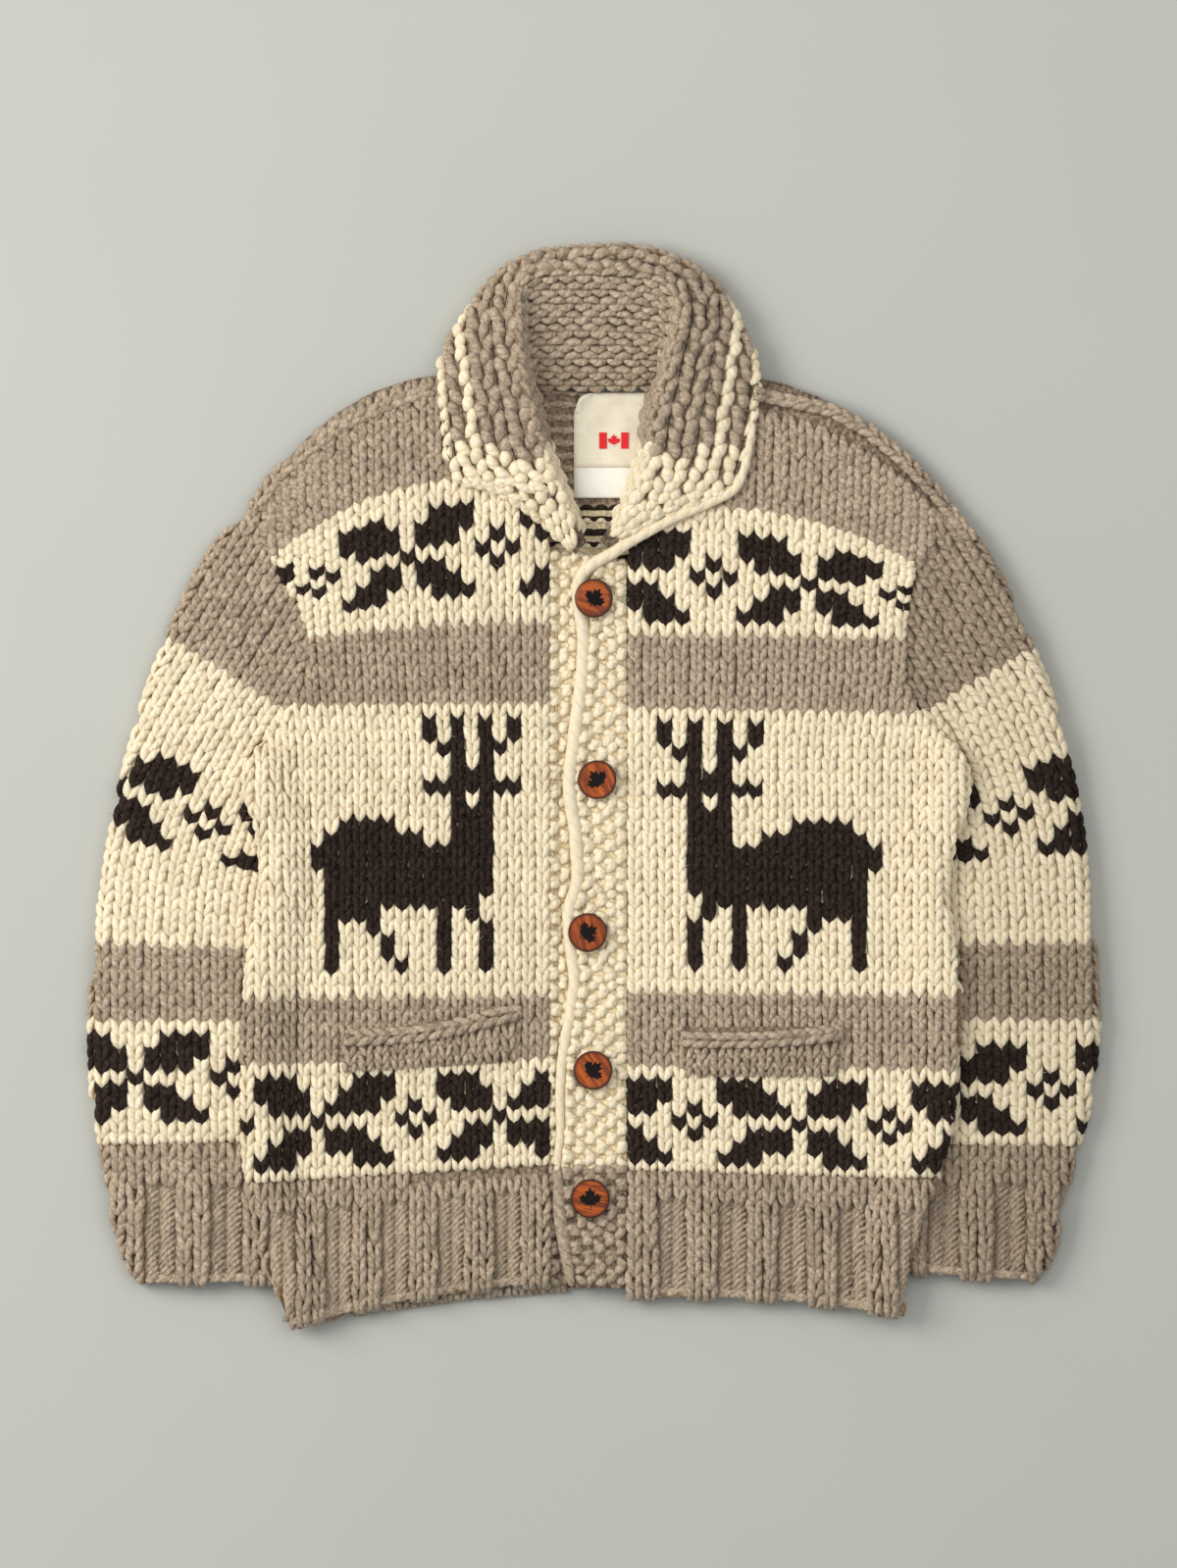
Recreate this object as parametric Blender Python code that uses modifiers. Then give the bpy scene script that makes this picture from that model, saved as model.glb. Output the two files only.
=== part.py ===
"""Heavy hand-knitted cardigan with a shawl collar, laid flat on its back.

All tables are in millimetres and MM turns them into metres. X runs to the
wearer's left, Y from the hem to the collar and Z up from the surface it lies on.
"""
import math

import bpy
from mathutils import Vector

MM = 0.001

# the knitting: thickness of one layer, and the gap kept between two pieces
WALL = 5.5
GAP = 0.3
HALF_GAP = 0.15

# how two layers lie: height at a fold and in the middle, roundness of a fold
FOLD_HEIGHT = 12.0
FLAT_HEIGHT = 14.6
FOLD_ROUND = 6.0
FOLD_LIP = 1.5
SPREAD = 60.0

# distances from a side fold at which a panel is drawn
EDGE_STEPS = (0.0, 0.8, 3.0, 7.0, 14.0, 26.0, 40.0)

# the body's side folds lie over the inner edges of the sleeves
LIFT = 12.1
LIFT_FLAT = 14.0
LIFT_SLOPE = 26.0
LIFT_TOP = ((36.0, 14.0), (48.0, 24.0))
SLEEVE_EDGE_HEIGHT = 11.4
SLEEVE_HEIGHT = 14.4
SLEEVE_ROUND = 7.0

# two-by-two rib: one repeat of four stitches and how far the plain stitches stand out
RIB_REPEAT = 46.0
RIB_RAISE = 1.6
RIB_SLOPE = 3.0

# buttons
BUTTON_DIAMETER = 28.6
BUTTON_THICKNESS = 4.2
BUTTON_EDGE = 0.9
BUTTON_SIDES = 28

# neck label
LABEL_THICKNESS = 0.9

# rows of the right front, hem to shoulder: height and place of the inner edge,
# height and place of the outer edge, and how late the row bends down
# (in_y, in_x, out_y, out_x, bend)
RIGHT_ROWS = (
    (-363, -33, -394, -222, 1.6),
    (-340, -33, -366, -234, 1.4),
    (-305, -33, -326, -245, 1.2),
    (-275, -33, -289, -254, 1.0),
    (-232, -33, -240, -258, 1.0),
    (-190, -33, -194, -257, 1.0),
    (-143, -33, -146, -255, 1.0),
    (-100, -33, -102, -250, 1.0),
    (-66, -33, -66, -243, 1.0),
    (-38, -33, -38, -245, 1.0),
    (-14, -33, -15, -251, 1.0),
    (2, -33, 0, -256, 1.0),
    (16, -33, 13, -256, 1.2),
    (36, -33, 30, -248, 1.4),
    (51, -33, 49, -228, 1.5),
    (75, -33, 75, -213, 1.6),
    (97, -33, 96, -207, 1.8),
    (129, -33, 114, -207, 2.2),
    (165, -33, 136, -217, 2.4),
    (200, -34, 154, -228, 2.6),
    (240, -46, 175, -238, 2.7),
    (306, -60, 205, -252, 3.0),
)
# rows of the left front
LEFT_ROWS = (
    (-372, 24, -386, 223, 2.6),
    (-345, 24, -357, 230, 2.0),
    (-307, 24, -318, 239, 1.4),
    (-278, 24, -285, 251, 1.0),
    (-236, 24, -242, 262, 1.0),
    (-196, 24, -199, 265, 1.0),
    (-153, 24, -156, 268, 1.0),
    (-103, 24, -105, 261, 1.0),
    (-72, 24, -73, 257, 1.0),
    (-44, 24, -44, 262, 1.0),
    (-20, 24, -20, 270, 1.0),
    (0, 24, 0, 274, 1.0),
    (16, 24, 14, 273, 1.0),
    (32, 24, 28, 266, 1.2),
    (50, 24, 44, 250, 1.4),
    (66, 24, 64, 233, 1.5),
    (84, 24, 82, 228, 1.6),
    (122, 24, 118, 226, 1.9),
    (162, 24, 143, 230, 2.4),
    (203, 33, 161, 237, 2.8),
    (240, 47, 180, 247, 2.8),
    (306, 59, 208, 259, 2.6),
)
RIB_TOP_ROW = 3
UNDERARM_ROW = 12
NECK_DIP = 17.0
BACK_MIDDLE_X = -4.5
ROW_STEP = 34.0

# rings of the right sleeve, armhole to wrist: outer fold, inner fold, share of the armhole's bow
# (out_x, out_y, in_x, in_y, bow)
RIGHT_RINGS = (
    (-252, 205, -256.6, 14, 1.00),
    (-274, 184, -257, 5, 0.74),
    (-292, 157, -254, -5, 0.52),
    (-308, 123, -247, -16, 0.34),
    (-322, 90, -239, -28, 0.20),
    (-333, 55, -234, -42, 0.10),
    (-343, 20, -231, -58, 0.04),
    (-352, -20, -233, -78, 0.0),
    (-359, -60, -238, -100, 0.0),
    (-365, -100, -241, -122, 0.0),
    (-369, -141, -243, -148, 0.0),
    (-370, -190, -245, -190, 0.0),
    (-368, -228, -245, -226, 0.0),
    (-362, -260, -243, -257, 0.0),
)
RIGHT_CUFF = (
    (-362, -260, -243, -257, 0.0),
    (-354, -307, -237, -302, 0.0),
    (-343, -343, -229, -338, 0.0),
    (-338, -354, -226, -350, 0.0),
    (-328, -363, -223, -361, 0.0),
)
LEFT_RINGS = (
    (259, 208, 275, 14, 1.00),
    (280, 183, 274.6, 6, 0.74),
    (296, 158, 268, -6, 0.52),
    (311, 127, 260, -17, 0.34),
    (325, 95, 254, -29, 0.20),
    (337, 62, 249, -43, 0.10),
    (347, 28, 246, -58, 0.04),
    (355, -12, 246, -80, 0.0),
    (361, -60, 249, -104, 0.0),
    (366, -108, 253, -128, 0.0),
    (370, -156, 256, -158, 0.0),
    (368, -190, 253, -190, 0.0),
    (363, -235, 250, -232, 0.0),
    (354, -262, 245, -260, 0.0),
)
LEFT_CUFF = (
    (354, -262, 245, -260, 0.0),
    (345, -300, 234, -298, 0.0),
    (336, -336, 225, -328, 0.0),
    (330, -350, 221, -345, 0.0),
    (320, -361, 218, -353, 0.0),
)
# fractional rings at which a sleeve and a cuff are drawn
SLEEVE_TIMES = (0, 0.6, 1.3, 2.2, 3.2, 4.5, 6, 7.5, 9, 10.5, 12, 13)
CUFF_TIMES = (0, 0.5, 1, 2, 3, 4)

# the armhole seams, shoulder to underarm, are the outer ends of the rows
RIGHT_ARMHOLE = [(row[3], row[2]) for row in reversed(RIGHT_ROWS[UNDERARM_ROW:])]
LEFT_ARMHOLE = [(row[3], row[2]) for row in reversed(LEFT_ROWS[UNDERARM_ROW:])]

# the collar, from the right tip around the neck to the left tip: foot on the neckline,
# crest of the fold, outer edge, drop from the edge to the free end, and how far that end
# turns in below
# (foot_x, foot_y, foot_z, crest_x, crest_y, crest_z, edge_x, edge_y, edge_z, drop, turn)
COLLAR_SECTIONS = (
    (-5, 181, 13.5, -8, 179, 21, -13, 172, 18.6, 3.0, 0.5),
    (-11, 195, 9.0, -16, 191, 24, -23, 180, 20.0, 4.4, 1.0),
    (-18, 213, 8.0, -23, 211, 27, -46, 201, 20.5, 4.6, 1.0),
    (-23, 226, 8.0, -29, 224, 29, -74, 218, 20.5, 4.6, 1.0),
    (-28, 237, 8.0, -34, 236, 31, -97, 225, 20.5, 4.6, 1.0),
    (-33, 253, 8.0, -40, 252, 33, -106, 245, 20.5, 4.6, 1.0),
    (-38, 272, 8.0, -45, 272, 36, -109, 269, 20.5, 4.6, 1.0),
    (-42, 291, 8.0, -51, 292, 39, -111, 292, 21.0, 5.0, 1.5),
    (-44, 297, 8.0, -54, 312, 42, -111, 309, 20.5, 7.0, 3.0),
    (-45, 298, 8.0, -56, 333, 43, -107, 327, 18.0, 12.0, 8.0),
    (-45, 297, 8.0, -57, 352, 42, -98, 343, 16.5, 15.5, 20.0),
    (-44, 296, 8.0, -55, 367, 39, -85, 362, 15.5, 15.2, 34.0),
    (-42, 294, 8.0, -47, 377, 36, -68, 381, 15.0, 14.8, 44.0),
    (-35, 292, 8.0, -34, 380, 34, -43, 393, 15.0, 14.8, 50.0),
    (-18, 291.5, 8.0, -15, 380, 33, -17, 397, 15.0, 14.8, 52.0),
    (2, 291.5, 8.0, 5, 380, 33, 8, 398, 15.0, 14.8, 52.0),
    (22, 291.5, 8.0, 26, 379, 33, 34, 397, 15.0, 14.8, 52.0),
    (38, 292, 8.0, 44, 376, 34, 59, 390, 15.0, 14.8, 48.0),
    (44, 294, 8.0, 56, 370, 36, 79, 380, 15.0, 14.8, 44.0),
    (46, 296, 8.0, 62, 358, 39, 94, 364, 15.5, 15.2, 34.0),
    (47, 297, 8.0, 62, 342, 42, 105, 346, 16.5, 15.5, 20.0),
    (47, 298, 8.0, 58, 325, 43, 112, 328, 18.0, 12.0, 8.0),
    (45, 297, 8.0, 53, 307, 42, 117, 311, 20.5, 7.0, 3.0),
    (41, 290, 8.0, 49, 291, 39, 118, 292, 21.0, 5.0, 1.5),
    (36, 272, 8.0, 44, 272, 36, 115, 268, 20.5, 4.6, 1.0),
    (34, 254, 8.0, 42, 253, 33, 111, 244, 20.5, 4.6, 1.0),
    (31, 238, 8.0, 38, 236, 31, 103, 222, 20.5, 4.6, 1.0),
    (26, 223, 8.0, 33, 220, 29, 84, 211, 20.5, 4.6, 1.0),
    (19, 206, 8.0, 25, 203, 27, 58, 200, 20.5, 4.6, 1.0),
    (9, 190, 9.0, 14, 187, 24, 28, 184, 20.0, 4.4, 1.0),
    (3, 181, 13.5, 6, 179, 21, 12, 174, 18.6, 3.0, 0.5),
)
STAND_STEPS = 10
FALL_STEPS = 14
GARTER_RAISE = 1.5
COLLAR_WALL = 7.0
COLLAR_EDGE_WALL = 5.0

# the two front bands, top to bottom: height, and place of the upper band's corded edge
# (y, edge_x)
BAND_ROWS = (
    (165, -3), (140, -5), (111, -6), (75, -8), (46, -12), (20, -15), (3, -17), (-14, -15),
    (-33, -12), (-69, -10), (-91, -18), (-113, -16), (-141, -13), (-170, -17), (-199, -22),
    (-228, -24), (-249, -23), (-275, -26), (-314, -24), (-340, -20), (-367, -15),
)
UNDER_BAND_TOP = 171.0
RIGHT_BAND_X = -33.0
LEFT_BAND_X = 24.0
UNDER_BAND_END_X = 17.0
CORD_RAISE = 2.4

# pocket lips: corners of the braided edge and of the foot, right and left pocket
# (top_x1, top_y1, top_x2, top_y2, foot_y1, foot_y2)
RIGHT_POCKET = (-188, -181, -58, -162, -207, -199)
LEFT_POCKET = (66, -175, 180, -174, -210, -210)
LIP_THICKNESS = 4.6
BRAID_RAISE = 2.2

# neck label: corners, and the lift of its loose corner
LABEL_X = (-15.0, 40.0)
LABEL_Y = (213.0, 290.0)
LABEL_CORNER_LIFT = 5.0

# buttons, neck to hem: place, lean about the garment's length, height of the seat
SHANK_RADIUS = 3.5
SHANK_LENGTH = 2.5
# (x, y, lean, seat)
BUTTONS = (
    (-1, 139, 16.0, 22.4),
    (2, 6, 0.0, 20.0),
    (-5, -106, 0.0, 20.0),
    (-1, -207, 0.0, 20.0),
    (-3, -301, 0.0, 20.0),
)


def smooth(t):
    """Soft step from 0 to 1."""
    t = min(max(t, 0.0), 1.0)
    return t * t * (3.0 - 2.0 * t)


def mix(a, b, t):
    return a + (b - a) * t


def to_line(x, y, line):
    """Distance from a point to a run of straight edges."""
    best = 1e9
    for (ax, ay), (bx, by) in zip(line, line[1:]):
        dx, dy = bx - ax, by - ay
        t = ((x - ax) * dx + (y - ay) * dy) / (dx * dx + dy * dy)
        t = min(max(t, 0.0), 1.0)
        best = min(best, math.hypot(x - ax - dx * t, y - ay - dy * t))
    return best


def curve(values, t):
    """A value of a table column at a fractional row, on a smooth curve through the rows."""
    last = len(values) - 1
    i = min(int(t), last - 1)
    f = t - i
    a, b = values[i], values[i + 1]
    before = values[i - 1] if i > 0 else 2 * a - b
    after = values[i + 2] if i + 2 <= last else 2 * b - a
    m0, m1 = (b - before) / 2, (after - a) / 2
    f2, f3 = f * f, f * f * f
    return a * (2 * f3 - 3 * f2 + 1) + m0 * (f3 - 2 * f2 + f) + b * (3 * f2 - 2 * f3) + m1 * (f3 - f2)


def row_at(table, t):
    """All columns of a table at a fractional row."""
    return [curve([row[i] for row in table], t) for i in range(len(table[0]))]


def panel_row(table, t):
    """A row of a body panel, with straight steps between the rows along the armhole."""
    if t <= UNDERARM_ROW:
        return row_at(table[:UNDERARM_ROW + 1], t)
    i = min(int(t), len(table) - 2)
    return [mix(a, b, t - i) for a, b in zip(table[i], table[i + 1])]


def row_point(row, x):
    """Height of a knitted row where it passes the place x."""
    in_y, in_x, out_y, out_x, bend = row
    u = min(max((x - in_x) / (out_x - in_x), 0.0), 1.0)
    return in_y + (out_y - in_y) * u ** bend


def side_line(table):
    """The side fold, underarm to hem."""
    rows = [panel_row(table, UNDERARM_ROW * i / 30) for i in range(31)]
    return [(row[3], row[2]) for row in rows]


def shoulder_line(table):
    """The shoulder fold, neck to armhole."""
    row = table[-1]
    xs = [mix(row[1], row[3], i / 16) for i in range(17)]
    return [(x, row_point(row, x)) for x in xs]


SIDES = [side_line(RIGHT_ROWS), side_line(LEFT_ROWS)]
SHOULDERS = [shoulder_line(RIGHT_ROWS), shoulder_line(LEFT_ROWS)]


def round_fold(distance, radius):
    """Share of the full height reached at a distance from a fold."""
    t = 1.0 - min(max(distance / radius, 0.0), 1.0)
    return math.sqrt(1.0 - t * t)


def body_levels(x, y):
    """Underside and top of the body where it lies."""
    left = x > 0
    to_side = to_line(x, y, SIDES[left])
    to_fold = min(to_side, to_line(x, y, SHOULDERS[left]))
    high, low = LIFT_TOP[left]
    along = smooth((high - y) / (high - low)) * (1.0 - 0.5 * smooth((-378.0 - y) / 18.0))
    lift = LIFT * along * (1.0 - smooth((to_side - LIFT_FLAT) / LIFT_SLOPE))
    height = FOLD_HEIGHT + (FLAT_HEIGHT - FOLD_HEIGHT) * smooth(to_fold / SPREAD)
    half = FOLD_LIP + (height / 2 - FOLD_LIP) * round_fold(to_fold, FOLD_ROUND)
    middle = lift + height / 2
    return middle - half, middle + half, middle


def neck_dip(x, row, table):
    """How far the back's rows dip at the neckline."""
    top = smooth((row - (len(table) - 2.2)) / 1.2)
    return NECK_DIP * top * (1.0 - smooth((abs(x) - 38.0) / 24.0))


def back_edge(x):
    """Height of the back's top edge at the place x."""
    table = LEFT_ROWS if x > 0 else RIGHT_ROWS
    row = table[-1]
    inside = abs(x) < abs(row[1])
    y = row[0] if inside else row_point(row, x)
    return y - neck_dip(x, len(table) - 1, table)


def material(name, colour, roughness):
    mat = bpy.data.materials.new(name)
    mat.use_nodes = True
    shader = mat.node_tree.nodes["Principled BSDF"]
    shader.inputs["Base Color"].default_value = (*colour, 1.0)
    shader.inputs["Roughness"].default_value = roughness
    shader.inputs["Metallic"].default_value = 0.0
    mat.diffuse_color = (*colour, 1.0)
    return mat


def add_object(name, points, faces, mat, at=(0.0, 0.0, 0.0)):
    """One named solid from millimetre points, seated at its own origin."""
    mesh = bpy.data.meshes.new(name)
    mesh.from_pydata([((p[0] - at[0]) * MM, (p[1] - at[1]) * MM, (p[2] - at[2]) * MM) for p in points], [], faces)
    mesh.materials.append(mat)
    mesh.validate()
    obj = bpy.data.objects.new(name, mesh)
    obj.location = (at[0] * MM, at[1] * MM, at[2] * MM)
    GARMENT.objects.link(obj)
    return obj


def split(points, a, b, c, d):
    """Two triangles of a four-sided face, cut along its shorter diagonal in plan."""
    first = math.dist(points[a][:2], points[c][:2])
    second = math.dist(points[b][:2], points[d][:2])
    if first <= second:
        return [(a, b, c), (a, c, d)]
    return [(a, b, d), (b, c, d)]


def sheet(name, upper, lower, mat):
    """A closed solid between two grids of points, top and underside."""
    rows, cols = len(upper), len(upper[0])
    points = [p for row in upper for p in row] + [p for row in lower for p in row]
    base = rows * cols
    faces = []
    for r in range(rows - 1):
        for c in range(cols - 1):
            a, b, d, e = r * cols + c, r * cols + c + 1, (r + 1) * cols + c + 1, (r + 1) * cols + c
            faces += split(points, a, b, d, e)
            faces += split(points, base + e, base + d, base + b, base + a)
    for c in range(cols - 1):
        faces.append((c + 1, c, base + c, base + c + 1))
        top = (rows - 1) * cols + c
        faces.append((top, top + 1, base + top + 1, base + top))
    for r in range(rows - 1):
        a, b = r * cols, (r + 1) * cols
        faces.append((a, b, base + b, base + a))
        a, b = a + cols - 1, b + cols - 1
        faces.append((b, a, base + a, base + b))
    return face_out(add_object(name, points, faces, mat))


def tube(name, outer, inner, mat):
    """A closed solid between outer rings and inner rings, open at both ends."""
    rings, around = len(outer), len(outer[0])
    points = [p for ring in outer for p in ring] + [p for ring in inner for p in ring]
    base = rings * around
    faces = []
    for r in range(rings - 1):
        for c in range(around):
            n = (c + 1) % around
            a, b, d, e = r * around + c, r * around + n, (r + 1) * around + n, (r + 1) * around + c
            faces.append((a, b, d, e))
            faces.append((base + e, base + d, base + b, base + a))
    for r, flip in ((0, False), (rings - 1, True)):
        for c in range(around):
            n = (c + 1) % around
            quad = (r * around + c, base + r * around + c, base + r * around + n, r * around + n)
            faces.append(quad[::-1] if flip else quad)
    return face_out(add_object(name, points, faces, mat))


def face_out(obj):
    """Turn all faces outward."""
    mesh = obj.data
    volume = 0.0
    for poly in mesh.polygons:
        p = [mesh.vertices[i].co for i in poly.vertices]
        for i in range(1, len(p) - 1):
            volume += p[0].dot(p[i].cross(p[i + 1]))
    if volume < 0:
        mesh.flip_normals()
    return obj


def rib(across):
    """Raise of the two-by-two rib at a distance across the knitting."""
    t = across % RIB_REPEAT
    half = RIB_REPEAT / 2
    if t < half:
        return RIB_RAISE * min(1.0, t / RIB_SLOPE, (half - t) / RIB_SLOPE)
    return 0.0


def rib_places(width, start):
    """Places across a rib where its form changes, from `start` to `width`."""
    places = []
    half = RIB_REPEAT / 2
    n = 0
    while n * RIB_REPEAT < width:
        for step in (0.0, RIB_SLOPE, half - RIB_SLOPE, half):
            place = n * RIB_REPEAT + step
            if start < place < width - 4.0:
                places.append(place)
        n += 1
    return places


def front_columns(row, count):
    """Places along a row from the inner edge to the side fold, closer near the fold."""
    in_x, out_x = row[1], row[3]
    way = 1 if out_x > in_x else -1
    first = out_x - way * EDGE_STEPS[-1]
    xs = [mix(in_x, first, i / count) for i in range(count)]
    return xs + [out_x - way * step for step in reversed(EDGE_STEPS)]


def panel_rows(step):
    """Fractional rows of a body panel from the rib to the shoulder, closer at the shoulder."""
    rows = []
    t = float(RIB_TOP_ROW)
    while t < UNDERARM_ROW - 0.3:
        rows.append(t)
        span = abs(panel_row(RIGHT_ROWS, t + 0.25)[0] - panel_row(RIGHT_ROWS, t)[0]) * 4
        t += min(1.0, step / span)
    last = len(RIGHT_ROWS) - 1
    rows += list(range(UNDERARM_ROW, last))
    return rows + [last - f for f in (0.5, 0.26, 0.12, 0.04, 0.0)]


def armhole_gap(x, y, way, row):
    """Pull the cut edge back by half a seam gap above the underarm."""
    return x - way * HALF_GAP if row > UNDERARM_ROW else x


def front(name, table, mat):
    way = 1 if table[0][3] > 0 else -1
    upper, lower = [], []
    for t in panel_rows(ROW_STEP):
        row = panel_row(table, t)
        top_line, low_line = [], []
        for x in front_columns(row, 6):
            y = row_point(row, x)
            if t == RIB_TOP_ROW:
                y += HALF_GAP
            under, over, middle = body_levels(x, y)
            x_cut = armhole_gap(x, y, way, t)
            if x == row[1]:
                x_cut += way * HALF_GAP
            top_line.append((x_cut, y, over))
            low_line.append((x_cut, y, max(over - WALL, middle + HALF_GAP)))
        upper.append(top_line)
        lower.append(low_line)
    return sheet(name, upper, lower, mat)


def back_row(table, t):
    """A row of the back: near the rib it runs straight from the middle to the side."""
    row = panel_row(table, t)
    share = smooth((t - RIB_TOP_ROW) / 4.0)
    middle = (panel_row(RIGHT_ROWS, t)[0] + panel_row(LEFT_ROWS, t)[0]) / 2
    row[0] = mix(middle, row[0], share)
    row[1] = mix(BACK_MIDDLE_X, row[1], share)
    return row


def back(name, mat):
    upper, lower = [], []
    for t in panel_rows(ROW_STEP):
        lines = []
        for table in (RIGHT_ROWS, LEFT_ROWS):
            row = back_row(table, t)
            way = 1 if row[3] > 0 else -1
            first = row[3] - way * EDGE_STEPS[-1]
            count = 5
            xs = [mix(BACK_MIDDLE_X, first, i / count) for i in range(count)]
            xs += [row[3] - way * step for step in reversed(EDGE_STEPS)]
            line = []
            for x in xs:
                u = (x - row[1]) / (row[3] - row[1])
                y = row_point(row, x) if u > 0 else row[0]
                y -= neck_dip(x, t, table)
                if t == RIB_TOP_ROW:
                    y += HALF_GAP
                under, over, middle = body_levels(x, y)
                x_cut = armhole_gap(x, y, way, t)
                line.append(((x_cut, y, min(under + WALL, middle - HALF_GAP)), (x_cut, y, under)))
            lines.append(line)
        right, left = lines
        centre_y = (right[0][0][1] + left[0][0][1]) / 2
        centre = [(BACK_MIDDLE_X, centre_y, p[2]) for p in right[0]]
        whole = right[:0:-1] + [centre] + left[1:]
        upper.append([p[0] for p in whole])
        lower.append([p[1] for p in whole])
    return sheet(name, upper, lower, mat)


def hem_front(name, table, mat):
    """Front part of the hem rib, its plain stitches raised on top."""
    way = 1 if table[0][3] > 0 else -1
    upper, lower = [], []
    for t in (RIB_TOP_ROW, 2.3, 1.2, 0.55, 0.0):
        row = panel_row(table, t)
        width = abs(table[RIB_TOP_ROW][3] - table[RIB_TOP_ROW][1])
        places = [0.0] + rib_places(width - EDGE_STEPS[-4], 2.0)
        scale = abs(row[3] - row[1]) / width
        xs = [row[1] + way * place * scale for place in places]
        xs += [row[3] - way * step for step in reversed(EDGE_STEPS[:-3])]
        top_line, low_line = [], []
        for i, x in enumerate(xs):
            y = row_point(row, x)
            if t == RIB_TOP_ROW:
                y -= HALF_GAP
            under, over, middle = body_levels(x, y)
            if i == 0:
                x += way * HALF_GAP
            inner = max(over - WALL, middle + HALF_GAP) + HALF_GAP
            ease = smooth((RIB_TOP_ROW - t) / 0.7)
            raised = rib(places[i]) * ease if i < len(places) else 0.0
            end = 1.8 if t == 0.0 else 0.0
            top_line.append((x, y, over + raised - end))
            low_line.append((x, y, inner + end * 0.3))
        upper.append(top_line)
        lower.append(low_line)
    return sheet(name, upper, lower, mat)


def hem_back(name, mat):
    """Back part of the hem rib, its plain stitches rest on the ground."""
    upper, lower = [], []
    for t in (RIB_TOP_ROW, 2.3, 1.2, 0.55, 0.0):
        whole = []
        for table in (RIGHT_ROWS, LEFT_ROWS):
            row = back_row(table, t)
            way = 1 if row[3] > 0 else -1
            width = abs(table[RIB_TOP_ROW][3] - BACK_MIDDLE_X)
            places = [0.0] + rib_places(width - EDGE_STEPS[-3], 2.0)
            scale = abs(row[3] - BACK_MIDDLE_X) / width
            xs = [BACK_MIDDLE_X + way * place * scale for place in places]
            xs += [row[3] - way * step for step in reversed(EDGE_STEPS[:-2])]
            line = []
            for i, x in enumerate(xs):
                u = (x - row[1]) / (row[3] - row[1])
                y = row_point(row, x) if u > 0 else row[0]
                if t == RIB_TOP_ROW:
                    y -= HALF_GAP
                under, over, middle = body_levels(x, y)
                inner = min(under + WALL, middle - HALF_GAP) - HALF_GAP
                ease = smooth((RIB_TOP_ROW - t) / 0.7)
                sunk = (RIB_RAISE - rib(places[i])) * ease if 0 < i < len(places) else 0.0
                end = 1.5 if t == 0.0 else 0.0
                line.append(((x, y, inner - end * 0.3), (x, y, under + sunk)))
            whole.append(line)
        right, left = whole
        centre_y = (right[0][0][1] + left[0][0][1]) / 2
        centre = [(BACK_MIDDLE_X, centre_y, p[2]) for p in right[0]]
        joined = right[:0:-1] + [centre] + left[1:]
        upper.append([p[0] for p in joined])
        lower.append([p[1] for p in joined])
    return sheet(name, upper, lower, mat)


def along_line(line, w):
    """A point at a share of the length of a run of edges."""
    lengths = [math.dist(a, b) for a, b in zip(line, line[1:])]
    left = w * sum(lengths)
    for (a, b), length in zip(zip(line, line[1:]), lengths):
        if left <= length or (a, b) == (line[-2], line[-1]):
            f = min(left / length, 1.0)
            return mix(a[0], b[0], f), mix(a[1], b[1], f)
        left -= length
    return line[-1]


def sleeve_place(row, armhole, w):
    """A point of a sleeve row, outer fold at w = 0 and inner fold at w = 1."""
    out_x, out_y, in_x, in_y, bow = row
    seam = along_line(armhole, w)
    chord = mix(armhole[0][0], armhole[-1][0], w), mix(armhole[0][1], armhole[-1][1], w)
    share = bow * max(0.0, 1.0 - 1.6 * (1.0 - bow) * w)
    x = mix(out_x, in_x, w) + share * (seam[0] - chord[0])
    y = mix(out_y, in_y, w) + share * (seam[1] - chord[1])
    return x, y


def sleeve_height(x, y):
    """Height of a flattened sleeve, lowest where the body's side lies over it."""
    line = SIDES[x > 0]
    near = min(line, key=lambda p: math.hypot(x - p[0], y - p[1]))
    outside = to_line(x, y, line) if abs(x) > abs(near[0]) else 0.0
    return SLEEVE_EDGE_HEIGHT + (SLEEVE_HEIGHT - SLEEVE_EDGE_HEIGHT) * smooth(outside / 40.0)


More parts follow.
